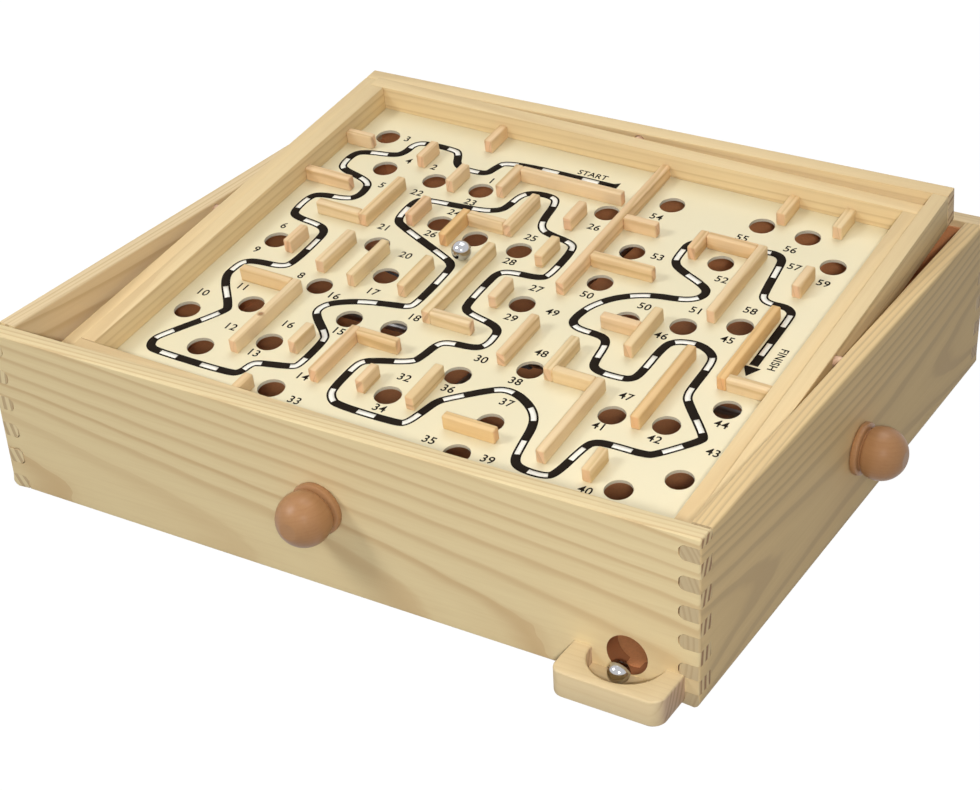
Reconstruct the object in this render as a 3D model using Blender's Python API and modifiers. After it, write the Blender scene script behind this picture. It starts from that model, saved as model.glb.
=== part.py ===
"""Wooden tilting labyrinth game.

A finger-jointed pine box holds an outer frame on two dowels, and that frame holds the maze board on two more.
Two knobs turn steel shafts under the board. A cord wound on each shaft pulls one side of its frame down.
The model is stored as the game is photographed: outer frame tipped to the front, board tipped a little right.
+X is right along the front wall, +Y goes to the back and +Z is up.
The origin is the middle of the front wall's bottom face.
The empty box_middle stands on that level in the middle of the box.
"""

import bpy
import bmesh
from math import asin, cos, pi, radians, sin
from mathutils import Matrix, Vector

MM = 0.001
GAP = 0.3
CUT_PAST = 1.0
ROD_SIDES = 16

# Box walls, in millimetres
BOX_LENGTH = 352.0
BOX_DEPTH = 305.0
BOX_HEIGHT = 80.0
WALL = 9.0
FINGER = 6.9
FIRST_FINGER_TOP = 6.65
FINGER_PAIRS = 5

# Sloping floor that runs every fallen ball to the outlet
FLOOR_THICKNESS = 3.0
FLOOR_TONGUE = 3.7
FLOOR_GROOVE = 4.3
FLOOR_MIDDLE_TOP = 12.7
FLOOR_SLOPE_X = -0.021
FLOOR_SLOPE_Y = 0.021

# Thin hardboard upstands, glued on the floor along its two high edges against the left and back walls
UPSTAND = 1.1
UPSTAND_ROOT = 1.0
LEFT_UPSTAND_TOP = 58.0
BACK_UPSTAND_TOP = 76.5

# Ball outlet and catch tray
OUTLET_X = 144.0
OUTLET_Z = 15.4
OUTLET_RADIUS = 9.2
OUTLET_SIDES = 28
TRAY_LEFT = 119.8
TRAY_RIGHT = 169.4
TRAY_REACH = 21.0
TRAY_BOTTOM = 2.0
TRAY_TOP = 14.5
TRAY_CORNER = 5.0
TRAY_CORNER_STEPS = 5
SCOOP_X = 144.5
SCOOP_RADIUS = 16.5
SCOOP_SIDES = 40
SCOOP_FLOOR = 6.0

# Tilt of the two frames as stored
PIVOT_Z = 75.55
FRAME_TILT = radians(8.4)
BOARD_TILT = radians(1.7)

# Outer tilting frame, in its own frame with the pivot height as zero
FRAME_HALF_X = 163.2
FRAME_HALF_Y = 137.7
FRAME_STOCK = 8.0
FRAME_TOP = 4.5
FRAME_BOTTOM = -12.9
SHAFT_NOTCH_HALF = 3.4
SHAFT_NOTCH_HEIGHT = 4.0

# Board: rims, panel and maze walls
RIM_HALF_X = 152.9
RIM_HALF_Y = 126.9
RIM_STOCK = 8.0
RIM_TOP = 3.5
RIM_BOTTOM = -11.9
PANEL_TOP = -9.43
PANEL_THICKNESS = 1.6
PANEL_LAP = 3.0
MAZE_HEIGHT = 7.2
HOLE_RADIUS = 6.25
HOLE_SIDES = 20

# Pivot dowels
PIN_RADIUS = 2.5
PIN_DEPTH = 6.0

# Shafts, knobs, cords and springs
SHAFT_RADIUS = 2.5
SHAFT_END_DEPTH = 6.0
FRONT_SHAFT_Z = 42.0
SIDE_SHAFT_Z = 36.0
FRONT_KNOB_STANDOFF = 1.0
SIDE_KNOB_STANDOFF = 0.4
KNOB_RADIUS = 12.0
KNOB_BALL_CENTRE = 10.2
KNOB_FACET_RADIUS = 4.0
KNOB_NECK_ANGLE = radians(116)
KNOB_GROOVE = (9.0, 3.9)
KNOB_COLLAR = [(11.3, 3.3), (12.0, 2.7), (12.0, 0.7), (11.4, 0)]
KNOB_BORE_DEPTH = 14.0
CLIP_RADIUS = 5.0
CLIP_THICKNESS = 1.0
KNOB_ARC_STEPS = 9
KNOB_STEPS = 24
CLIP_STEPS = 16
CORD_RADIUS = 0.6
CORD_TURNS = 3
CORD_SPREAD = 5.25
CORD_TURN_POINTS = 12
CORD_DROP = 3.0
CORD_HOLE_SIDES = 10
SIDE_CORD_X = 8.0
FRONT_CORD_Y = 14.0
SPRING_TAIL = 24.0
SPRING_LENGTH = 20.0
SPRING_RADIUS = 2.0
SPRING_WIRE_RADIUS = 0.4
SPRING_COILS = 7
SPRING_COIL_POINTS = 8
SPRING_LEAD = 1.6

# Steel balls
BALL_RADIUS = 4.75
BALL_SEGMENTS = 20
BALL_RINGS = 12
BOARD_BALL = (-36.2, 17.5)
TRAY_BALL = (143.6, -158.8)

# Ball holes through the panel: centre x, y from the middle of the board
BALL_HOLES = [
    (-129, 96), (-114, 70), (-84.5, 70), (-58.5, 71.5), (8.5, 79),
    (-62, 39), (-39.5, 34.5), (-15, 34.5), (-80.5, 11.5), (-128, -4.5),
    (-87, -28), (-62.5, -8.5), (-108.5, -53), (-134, -68.5), (-83.5, -73.5),
    (-111, -89), (-63, -101), (-59.5, -44), (-36.5, -42), (-12.5, -84),
    (34.5, 97.5), (82, 98.5), (106, 98), (126.5, 81), (77.5, 63),
    (35, 55), (33, 27), (83.5, 12.5), (107, 22.5), (57.5, 6.5),
    (8, -2), (8.5, -59.5), (36, -43), (38.5, -82), (36, -105.5),
    (84, -56), (108.5, -52.5), (127.5, -32.5), (129.5, -81.5), (109.5, -97.5),
]

# Straight maze walls on the panel: left, right, front and back of each
MAZE_STRIPS = {
    "maze_wall_02": (-99.5, -95, 77.5, 92.5),
    "maze_wall_03": (-74, -69.5, 64, 80.5),
    "maze_wall_05": (-76.5, -72, 31, 48.5),
    "maze_wall_07": (-4, 0.5, 58, 74.5),
    "maze_wall_08": (-1.5, 3, 26, 43.5),
    "maze_wall_11": (118.5, 123.2, 52, 69),
    "maze_wall_14": (95.3, 99.8, -60.5, -6),
    "maze_wall_16": (93, 97.5, -99, -83),
    "maze_wall_17": (22, 48, -94, -89.5),
    "maze_wall_18": (0, 4.5, -89, -63),
    "maze_wall_19": (-26.5, -22, -88, -74.5),
    "maze_wall_21": (-70.5, -66, -76.5, -61),
    "maze_wall_23": (-95, -90, -19, 9),
    "maze_wall_24": (-75, -70.5, -22.5, 8.5),
    "maze_wall_25": (-48.5, -44, -20, 6),
    "maze_wall_26": (-118.5, -114, -11.5, 3.5),
    "maze_wall_28": (-5, -0.5, -10.5, 6),
    "maze_wall_29": (20.5, 25, -46, -14),
}

# Maze walls glued up from two or three strips: the outline of each, anticlockwise from above
MAZE_GROUPS = {
    "maze_wall_start": [(-48.5, 69.5), (-44, 69.5), (-44, 86), (12.7, 86), (12.7, 90.5), (-48.5, 90.5)],
    "maze_wall_04": [(-122.5, 22), (-93, 22), (-93, 58), (-97.5, 58), (-97.5, 26.5), (-122.5, 26.5)],
    "maze_wall_06": [(-52.5, 23), (-48, 23), (-48, 42), (-23.5, 42), (-23.5, 71), (-28, 71),
                     (-28, 46.5), (-52.5, 46.5)],
    "maze_wall_back_divider": [(18.4, 11), (22.9, 11), (22.9, 36), (55.5, 36), (55.5, 40.5), (22.9, 40.5),
                               (22.9, 69), (40.5, 69), (40.5, 73.5), (22.9, 73.5), (22.9, 118.6),
                               (18.4, 118.6)],
    "maze_wall_10": [(61.5, 60), (66, 60), (66, 71), (91.5, 71), (91.5, 19.5), (96, 19.5), (96, 75.5),
                     (61.5, 75.5)],
    "maze_wall_finish": [(117, -22), (144.6, -22), (144.6, -17.5), (121.5, -17.5), (121.5, 35), (117, 35)],
    "maze_wall_13": [(50, -4), (69.3, -4), (69.3, -18), (73.8, -18), (73.8, 13), (69.3, 13), (69.3, 0.5),
                     (50, 0.5)],
    "maze_wall_15": [(45, -47), (69.7, -47), (69.7, -96.5), (74.2, -96.5), (74.2, -42.5), (49.5, -42.5),
                     (49.5, -21), (45, -21)],
    "maze_wall_20": [(-50, -90), (-45.5, -90), (-45.5, -58.5), (-24, -58.5), (-24, -54), (-50, -54)],
    "maze_wall_22": [(-124, -39.5), (-95.7, -39.5), (-95.7, -87), (-91.2, -87), (-91.2, -35), (-124, -35)],
    "maze_wall_27": [(-27, -33), (-1, -33), (-1, -28.5), (-22.5, -28.5), (-22.5, 27), (-27, 27)],
}

# Maze strips that are glued to a rim, and so are one piece with it
RIM_STUBS = {
    "board_rim_left": [(-146, -129.5, 82, 86.5), (-146, -118.5, 45, 49.5)],
    "board_rim_right": [],
    "board_rim_front": [(-74.5, -70, -120, -103)],
    "board_rim_back": [(-75, -70.5, 103, 120), (87.5, 92.5, 102, 120), (116.5, 121.5, 102, 120)],
}

for old in list(bpy.data.objects):
    bpy.data.objects.remove(old)

parts = bpy.data.collections.new("labyrinth_game")
cutters = bpy.data.collections.new("cutters")
bpy.context.scene.collection.children.link(parts)
bpy.context.scene.collection.children.link(cutters)


def finish(name, colour, roughness, metallic=0.0):
    """A material with a plain colour, roughness and metallic value."""
    made = bpy.data.materials.new(name)
    made.use_nodes = True
    shader = made.node_tree.nodes["Principled BSDF"]
    shader.inputs["Base Color"].default_value = (*colour, 1.0)
    shader.inputs["Roughness"].default_value = roughness
    shader.inputs["Metallic"].default_value = metallic
    return made


PINE = finish("pine", (0.78, 0.60, 0.36), 0.5)
FRAME_PINE = finish("frame_pine", (0.80, 0.61, 0.36), 0.5)
MAZE_PINE = finish("maze_pine", (0.80, 0.58, 0.33), 0.55)
BEECH = finish("turned_beech", (0.48, 0.24, 0.11), 0.3)
PRINTED_BOARD = finish("printed_board", (0.86, 0.77, 0.54), 0.4)
HARDBOARD = finish("hardboard", (0.42, 0.16, 0.07), 0.6)
DOWEL = finish("dowel", (0.74, 0.50, 0.36), 0.5)
ROD_STEEL = finish("rod_steel", (0.55, 0.55, 0.56), 0.3, 1.0)
BALL_STEEL = finish("ball_steel", (0.80, 0.80, 0.82), 0.08, 1.0)
CORD = finish("cord", (0.12, 0.12, 0.12), 0.8)


def pivot(name, location, rotation, parent=None):
    """An empty on a joint's axis, which carries everything that turns there."""
    empty = bpy.data.objects.new(name, None)
    empty.location = Vector(location) * MM
    empty.rotation_euler = rotation
    empty.parent = parent
    parts.objects.link(empty)
    return empty


half_length = BOX_LENGTH / 2
half_depth = BOX_DEPTH / 2
inner_x = half_length - WALL
inner_y = half_depth - WALL
rail_middle_y = FRAME_HALF_Y - FRAME_STOCK / 2
rim_middle_x = RIM_HALF_X - RIM_STOCK / 2
panel_bottom = PANEL_TOP - PANEL_THICKNESS
box_middle = pivot("box_middle", (0, half_depth - WALL / 2, 0), (0, 0, 0))
frame_pivot = pivot("frame_pivot", (0, 0, PIVOT_Z), (FRAME_TILT, 0, 0), box_middle)
board_pivot = pivot("board_pivot", (0, 0, 0), (0, BOARD_TILT, 0), frame_pivot)


def add(name, mesh, material, parent=box_middle, location=(0, 0, 0)):
    """Put a mesh in the game as a named piece."""
    piece = bpy.data.objects.new(name, mesh)
    piece.data.materials.append(material)
    piece.parent = parent
    piece.location = Vector(location) * MM
    parts.objects.link(piece)
    return piece


def add_cutter(name, mesh, parent=box_middle):
    """Keep a mesh as a hidden tool for Boolean modifiers."""
    tool = bpy.data.objects.new(name, mesh)
    tool.parent = parent
    tool.hide_render = True
    tool.display_type = "WIRE"
    cutters.objects.link(tool)
    return tool


def apply_tool(piece, tool, operation="DIFFERENCE"):
    """Cut or join a piece with a tool."""
    step = piece.modifiers.new(tool.name, "BOOLEAN")
    step.object = tool
    step.operation = operation
    step.solver = "EXACT"


def boxes(name, corners):
    """One mesh of upright boxes, each given by its lowest and highest corner in millimetres."""
    mesh = bpy.data.meshes.new(name)
    shape = bmesh.new()
    for low, high in corners:
        low, high = Vector(low) * MM, Vector(high) * MM
        place = Matrix.Translation((low + high) / 2) @ Matrix.Diagonal((*(high - low), 1))
        bmesh.ops.create_cube(shape, size=1.0, matrix=place)
    shape.to_mesh(mesh)
    shape.free()
    return mesh


def rods(name, ends, radius, sides=ROD_SIDES):
    """One mesh of straight round bars, each given by its two end points in millimetres."""
    mesh = bpy.data.meshes.new(name)
    shape = bmesh.new()
    for start, end in ends:
        start, end = Vector(start) * MM, Vector(end) * MM
        turn = (end - start).to_track_quat("Z", "Y").to_matrix().to_4x4()
        place = Matrix.Translation((start + end) / 2) @ turn
        bmesh.ops.create_cone(
            shape, cap_ends=True, segments=sides, radius1=radius * MM, radius2=radius * MM,
            depth=(end - start).length, matrix=place,
        )
    shape.to_mesh(mesh)
    shape.free()
    return mesh


def smooth(piece, angle=35):
    """Shade round faces smooth and keep real corners sharp."""
    piece.data.shade_smooth()
    piece.data.set_sharp_from_angle(angle=radians(angle))


def turned(name, profile, closed, steps, material, location, rotation):
    """A turned piece: a profile in millimetres swept round its own Z axis."""
    mesh = bpy.data.meshes.new(name)
    points = [(r * MM, 0, z * MM) for r, z in profile]
    edges = [(i, i + 1) for i in range(len(points) - 1)]
    if closed:
        edges.append((len(points) - 1, 0))
    mesh.from_pydata(points, edges, [])
    piece = add(name, mesh, material, box_middle, location)
    piece.rotation_euler = rotation
    screw = piece.modifiers.new("turn", "SCREW")
    screw.axis = "Z"
    screw.steps = steps
    screw.render_steps = steps
    screw.use_merge_vertices = True
    screw.merge_threshold = 0.00001


def tube(name, points, radius, material, parent=box_middle):
    """A round cord or wire along points in millimetres, with closed ends."""
    curve = bpy.data.curves.new(name, "CURVE")
    curve.dimensions = "3D"
    curve.bevel_depth = radius * MM
    curve.bevel_resolution = 1
    curve.use_fill_caps = True
    line = curve.splines.new("POLY")
    line.points.add(len(points) - 1)
    for spot, point in zip(line.points, points):
        spot.co = (*(Vector(point) * MM), 1)
    return add(name, curve, material, parent)


def front_fingers():
    """Heights at which the front and back walls reach the corner, as pairs of bottom and top."""
    bands = []
    for index in range(FINGER_PAIRS):
        bottom = FIRST_FINGER_TOP + 2 * FINGER * index
        bands.append((bottom, bottom + FINGER))
    bands.append((FIRST_FINGER_TOP + 2 * FINGER * FINGER_PAIRS, BOX_HEIGHT))
    return bands


def side_fingers():
    """Heights at which the left and right walls reach the corner."""
    tops = [bottom for bottom, top in front_fingers()]
    bottoms = [-CUT_PAST] + [top for bottom, top in front_fingers()][:-1]
    return list(zip(bottoms, tops))


def floor_tool(name, half_x, half_y, extra, below=0):
    """A plate that follows the sloping floor, grown above and below by extra, and further below if asked."""
    low = (-half_x, -half_y, -FLOOR_THICKNESS - extra - below)
    plate = boxes(name, [(low, (half_x, half_y, extra))])
    normal = Vector((-FLOOR_SLOPE_X, -FLOOR_SLOPE_Y, 1)).normalized()
    lean = Vector((0, 0, 1)).rotation_difference(normal).to_matrix().to_4x4()
    plate.transform(Matrix.Translation((0, 0, FLOOR_MIDDLE_TOP * MM)) @ lean)
    return plate


def side_wall_notches():
    """Boxes that cut the left and right walls' fingers out of the ends of the front and back walls."""
    notches = []
    for x in (-half_length, half_length):
        for bottom, top in side_fingers():
            inner = inner_x - GAP if x > 0 else -inner_x + GAP
            outer = x + CUT_PAST if x > 0 else x - CUT_PAST
            notches.append(((min(inner, outer), -half_depth - CUT_PAST, bottom),
                            (max(inner, outer), half_depth + CUT_PAST, top)))
    return notches


def front_wall_notches():
    """Boxes that cut the front and back walls' fingers out of the ends of the left and right walls."""
    notches = []
    for y in (-half_depth, half_depth):
        for bottom, top in front_fingers():
            inner = inner_y - GAP if y > 0 else -inner_y + GAP
            outer = y + CUT_PAST if y > 0 else y - CUT_PAST
            ceiling = top + GAP if top < BOX_HEIGHT else top + CUT_PAST
            notches.append(((-half_length - CUT_PAST, min(inner, outer), bottom - GAP),
                            (half_length + CUT_PAST, max(inner, outer), ceiling)))
    return notches


def add_front_and_back():
    """The long walls, with the front shaft's bores, and the ball outlet in the front one."""
    notches = add_cutter("notches_long_walls", boxes("notches_long_walls", side_wall_notches()))
    groove = add_cutter("groove_long_walls", floor_tool("groove_long_walls", inner_x - GAP,
                                                        inner_y + FLOOR_GROOVE, GAP))
    shaft_bore = add_cutter("front_shaft_bore", rods("front_shaft_bore", [
        ((0, -half_depth - CUT_PAST, FRONT_SHAFT_Z), (0, inner_y + SHAFT_END_DEPTH, FRONT_SHAFT_Z))],
        SHAFT_RADIUS + GAP))
    outlet = add_cutter("outlet_bore", rods("outlet_bore", [
        ((OUTLET_X, -half_depth - CUT_PAST, OUTLET_Z), (OUTLET_X, -inner_y + CUT_PAST, OUTLET_Z))],
        OUTLET_RADIUS, OUTLET_SIDES))
    for name, low_y in (("front_wall", -half_depth), ("back_wall", inner_y)):
        span = ((-half_length, low_y, 0), (half_length, low_y + WALL, BOX_HEIGHT))
        wall = add(name, boxes(name, [span]), PINE)
        apply_tool(wall, notches)
        apply_tool(wall, groove)
        apply_tool(wall, shaft_bore)
        if name == "front_wall":
            apply_tool(wall, outlet)


def add_left_and_right():
    """The short walls, with the side shaft's bores and the holes for the outer frame's pivot dowels."""
    notches = add_cutter("notches_short_walls", boxes("notches_short_walls", front_wall_notches()))
    groove = add_cutter("groove_short_walls", floor_tool("groove_short_walls", inner_x + FLOOR_GROOVE,
                                                         inner_y - GAP, GAP))
    shaft_bore = add_cutter("side_shaft_bore", rods("side_shaft_bore", [
        ((-inner_x - SHAFT_END_DEPTH, 0, SIDE_SHAFT_Z), (half_length + CUT_PAST, 0, SIDE_SHAFT_Z))],
        SHAFT_RADIUS + GAP))
    pin_bores = add_cutter("wall_pin_bores", rods("wall_pin_bores", [
        ((-inner_x - PIN_DEPTH, 0, PIVOT_Z), (inner_x + PIN_DEPTH, 0, PIVOT_Z))], PIN_RADIUS + GAP))
    for name, low_x in (("left_wall", -half_length), ("right_wall", inner_x)):
        span = ((low_x, -half_depth, 0), (low_x + WALL, half_depth, BOX_HEIGHT))
        wall = add(name, boxes(name, [span]), PINE)
        apply_tool(wall, notches)
        apply_tool(wall, groove)
        apply_tool(wall, shaft_bore)
        apply_tool(wall, pin_bores)


def add_floor():
    """The sloping hardboard floor, let into grooves of the four walls, with its two upstands glued on."""
    tongue_x = inner_x + FLOOR_TONGUE
    tongue_y = inner_y + FLOOR_TONGUE
    floor = add("sloping_floor", floor_tool("sloping_floor", tongue_x, tongue_y, 0), HARDBOARD)
    corner_x = inner_x - 2 * GAP
    corner_y = inner_y - 2 * GAP
    blocks = []
    for x in (-1, 1):
        for y in (-1, 1):
            xs = sorted((x * corner_x, x * (tongue_x + 1)))
            ys = sorted((y * corner_y, y * (tongue_y + 1)))
            blocks.append(((xs[0], ys[0], 0), (xs[1], ys[1], BOX_HEIGHT / 2)))
    apply_tool(floor, add_cutter("floor_corners", boxes("floor_corners", blocks)))
    add_upstands(floor)


def add_upstands(floor):
    """Thin strips that line the left and back walls, cut to the slope and bored for the shafts."""
    foot = floor_tool("upstand_foot", inner_x, inner_y, -UPSTAND_ROOT, 3 * FLOOR_THICKNESS)
    foot_tool = add_cutter("upstand_foot", foot)
    bores = add_cutter("upstand_bores", rods("upstand_bores", [
        ((-half_length, 0, SIDE_SHAFT_Z), (-inner_x / 2, 0, SIDE_SHAFT_Z)),
        ((0, inner_y / 2, FRONT_SHAFT_Z), (0, half_depth, FRONT_SHAFT_Z))], SHAFT_RADIUS + GAP))
    back = inner_y - GAP
    side = inner_x - GAP
    bottom = FLOOR_MIDDLE_TOP - FLOOR_THICKNESS
    upstands = {
        "left_upstand": ((-side, -back, bottom), (-side + UPSTAND, back, LEFT_UPSTAND_TOP)),
        "back_upstand": ((-side, back - UPSTAND, bottom), (side, back, BACK_UPSTAND_TOP)),
    }
    for name, span in upstands.items():
        upstand = add_cutter(name, boxes(name, [span]))
        apply_tool(upstand, foot_tool)
        apply_tool(upstand, bores)
        apply_tool(floor, upstand, "UNION")


def add_tray():
    """The block glued to the front wall, scooped out to catch a ball."""
    back = -half_depth - GAP
    front = -half_depth - TRAY_REACH
    mesh = boxes("catch_tray", [((TRAY_LEFT, front, TRAY_BOTTOM), (TRAY_RIGHT, back, TRAY_TOP))])
    shape = bmesh.new()
    shape.from_mesh(mesh)
    corners = [edge for edge in shape.edges
               if all(abs(v.co.y - front * MM) < 1e-6 for v in edge.verts)
               and abs(edge.verts[0].co.z - edge.verts[1].co.z) > 0.001]
    bmesh.ops.bevel(shape, geom=corners, offset=TRAY_CORNER * MM, segments=TRAY_CORNER_STEPS, profile=0.5,
                    affect="EDGES")
    shape.to_mesh(mesh)
    shape.free()
    tray = add("catch_tray", mesh, PINE)
    ends = ((SCOOP_X, -half_depth, SCOOP_FLOOR), (SCOOP_X, -half_depth, TRAY_TOP + CUT_PAST))
    scoop = rods("scoop", [ends], SCOOP_RADIUS, SCOOP_SIDES)
    apply_tool(tray, add_cutter("scoop", scoop))


def cord_holes(name, spots, bottom, parent):
    """Blind holes in the undersides, where a cord's end or a spring's tail is glued in."""
    top = bottom + CORD_DROP + GAP
    spans = [((x, y, bottom - CUT_PAST), (x, y, top)) for x, y in spots]
    return add_cutter(name, rods(name, spans, CORD_RADIUS + GAP, CORD_HOLE_SIDES), parent)


def add_pins():
    """Dowels: two between the box and the outer frame, two between that frame and the board."""
    wall_gap_start = inner_x + PIN_DEPTH - GAP
    rail_end = FRAME_HALF_X - PIN_DEPTH + GAP
    for side, name in ((-1, "frame_pin_left"), (1, "frame_pin_right")):
        add(name, rods(name, [((side * rail_end, 0, 0), (side * wall_gap_start, 0, 0))], PIN_RADIUS),
            DOWEL, box_middle, (0, 0, PIVOT_Z))
    inner_rail = FRAME_HALF_Y - FRAME_STOCK
    for side, name in ((-1, "board_pin_front"), (1, "board_pin_back")):
        start = RIM_HALF_Y - PIN_DEPTH + GAP
        end = inner_rail + PIN_DEPTH - GAP
        add(name, rods(name, [((0, side * start, 0), (0, side * end, 0))], PIN_RADIUS), DOWEL, frame_pivot)


def add_outer_frame():
    """Four rails: front and back run through, left and right fit between them."""
    inner_frame_x = FRAME_HALF_X - FRAME_STOCK
    inner_frame_y = FRAME_HALF_Y - FRAME_STOCK
    bore = PIN_RADIUS + GAP
    side_bores = add_cutter("frame_pin_bores", rods("frame_pin_bores", [
        ((-FRAME_HALF_X - CUT_PAST, 0, 0), (-FRAME_HALF_X + PIN_DEPTH, 0, 0)),
        ((FRAME_HALF_X - PIN_DEPTH, 0, 0), (FRAME_HALF_X + CUT_PAST, 0, 0))], bore), frame_pivot)
    board_bores = add_cutter("board_pin_bores_in_frame", rods("board_pin_bores_in_frame", [
        ((0, -inner_frame_y - PIN_DEPTH, 0), (0, -inner_frame_y + CUT_PAST, 0)),
        ((0, inner_frame_y - CUT_PAST, 0), (0, inner_frame_y + PIN_DEPTH, 0))], bore), frame_pivot)
    notch = add_cutter("shaft_notch", boxes("shaft_notch", [
        ((-SHAFT_NOTCH_HALF, -FRAME_HALF_Y - CUT_PAST, FRAME_BOTTOM - CUT_PAST),
         (SHAFT_NOTCH_HALF, FRAME_HALF_Y + CUT_PAST, FRAME_BOTTOM + SHAFT_NOTCH_HEIGHT))]), frame_pivot)
    glue_holes = cord_holes("frame_cord_holes", [
        (SIDE_CORD_X - CORD_SPREAD / 2, -rail_middle_y), (SIDE_CORD_X + CORD_SPREAD / 2, rail_middle_y)],
        FRAME_BOTTOM, frame_pivot)
    for side, name in ((-1, "frame_rail_front"), (1, "frame_rail_back")):
        ys = sorted((side * inner_frame_y, side * FRAME_HALF_Y))
        span = ((-FRAME_HALF_X, ys[0], FRAME_BOTTOM), (FRAME_HALF_X, ys[1], FRAME_TOP))
        rail = add(name, boxes(name, [span]), FRAME_PINE, frame_pivot)
        apply_tool(rail, board_bores)
        apply_tool(rail, notch)
        apply_tool(rail, glue_holes)
    for side, name in ((-1, "frame_rail_left"), (1, "frame_rail_right")):
        xs = sorted((side * inner_frame_x, side * FRAME_HALF_X))
        end = inner_frame_y - GAP
        rail = add(name, boxes(name, [((xs[0], -end, FRAME_BOTTOM), (xs[1], end, FRAME_TOP))]),
                   FRAME_PINE, frame_pivot)
        apply_tool(rail, side_bores)


def add_board():
    """The rims, rabbeted from below for the panel, and the panel with its ball holes."""
    inner_rim_x = RIM_HALF_X - RIM_STOCK
    inner_rim_y = RIM_HALF_Y - RIM_STOCK
    lap = PANEL_LAP - GAP
    strip_bottom = PANEL_TOP + GAP
    rabbet = add_cutter("panel_rabbet", boxes("panel_rabbet", [
        ((-inner_rim_x - PANEL_LAP, -inner_rim_y - PANEL_LAP, RIM_BOTTOM - CUT_PAST),
         (inner_rim_x + PANEL_LAP, inner_rim_y + PANEL_LAP, strip_bottom))]), board_pivot)
    pin_bores = add_cutter("board_pin_bores", rods("board_pin_bores", [
        ((0, -RIM_HALF_Y - CUT_PAST, 0), (0, -RIM_HALF_Y + PIN_DEPTH, 0)),
        ((0, RIM_HALF_Y - PIN_DEPTH, 0), (0, RIM_HALF_Y + CUT_PAST, 0))], PIN_RADIUS + GAP), board_pivot)
    glue_holes = cord_holes("board_cord_holes", [
        (rim_middle_x, FRONT_CORD_Y - CORD_SPREAD / 2), (-rim_middle_x, FRONT_CORD_Y + CORD_SPREAD / 2)],
        RIM_BOTTOM, board_pivot)
    end = inner_rim_y - GAP
    rims = {
        "board_rim_front": ((-RIM_HALF_X, -RIM_HALF_Y), (RIM_HALF_X, -inner_rim_y)),
        "board_rim_back": ((-RIM_HALF_X, inner_rim_y), (RIM_HALF_X, RIM_HALF_Y)),
        "board_rim_left": ((-RIM_HALF_X, -end), (-inner_rim_x, end)),
        "board_rim_right": ((inner_rim_x, -end), (RIM_HALF_X, end)),
    }
    for name, (low, high) in rims.items():
        rim = add(name, boxes(name, [((*low, RIM_BOTTOM), (*high, RIM_TOP))]), FRAME_PINE, board_pivot)
        for index, (left, right, front, back) in enumerate(RIM_STUBS[name]):
            label = f"{name}_stub_{index + 1}"
            strip = boxes(label, [((left, front, PANEL_TOP), (right, back, PANEL_TOP + MAZE_HEIGHT))])
            apply_tool(rim, add_cutter(label, strip, board_pivot), "UNION")
        apply_tool(rim, rabbet)
        if name in ("board_rim_front", "board_rim_back"):
            apply_tool(rim, pin_bores)
        else:
            apply_tool(rim, glue_holes)

    panel_mesh = boxes("maze_panel", [((-inner_rim_x - lap, -inner_rim_y - lap, panel_bottom),
                                       (inner_rim_x + lap, inner_rim_y + lap, PANEL_TOP))])
    panel = add("maze_panel", panel_mesh, PRINTED_BOARD, board_pivot)
    drilled = [((x, y, panel_bottom - CUT_PAST), (x, y, PANEL_TOP + CUT_PAST)) for x, y in BALL_HOLES]
    holes = rods("ball_holes", drilled, HOLE_RADIUS, HOLE_SIDES)
    apply_tool(panel, add_cutter("ball_holes", holes, board_pivot))


def add_maze_walls():
    """The low walls glued to the panel."""
    bottom = PANEL_TOP + GAP
    top = PANEL_TOP + MAZE_HEIGHT
    for name, (left, right, front, back) in MAZE_STRIPS.items():
        add(name, boxes(name, [((left, front, bottom), (right, back, top))]), MAZE_PINE, board_pivot)
    for name, outline in MAZE_GROUPS.items():
        curve = bpy.data.curves.new(name, "CURVE")
        curve.dimensions = "2D"
        curve.fill_mode = "BOTH"
        curve.extrude = (top - bottom) / 2 * MM
        line = curve.splines.new("POLY")
        line.points.add(len(outline) - 1)
        for spot, (x, y) in zip(line.points, outline):
            spot.co = (x * MM, y * MM, 0, 1)
        line.use_cyclic_u = True
        add(name, curve, MAZE_PINE, board_pivot, (0, 0, (bottom + top) / 2))


def knob_profile():
    """Half section of a knob, from the flat front down the ball, groove and collar, then up the bore."""
    facet_angle = asin(KNOB_FACET_RADIUS / KNOB_RADIUS)
    points = [(0, KNOB_BALL_CENTRE + KNOB_RADIUS * cos(facet_angle))]
    for index in range(KNOB_ARC_STEPS + 1):
        angle = facet_angle + (KNOB_NECK_ANGLE - facet_angle) * index / KNOB_ARC_STEPS
        points.append((KNOB_RADIUS * sin(angle), KNOB_BALL_CENTRE + KNOB_RADIUS * cos(angle)))
    bore = SHAFT_RADIUS + GAP
    return points + [KNOB_GROOVE] + KNOB_COLLAR + [(bore, 0), (bore, KNOB_BORE_DEPTH), (0, KNOB_BORE_DEPTH)]


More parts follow.
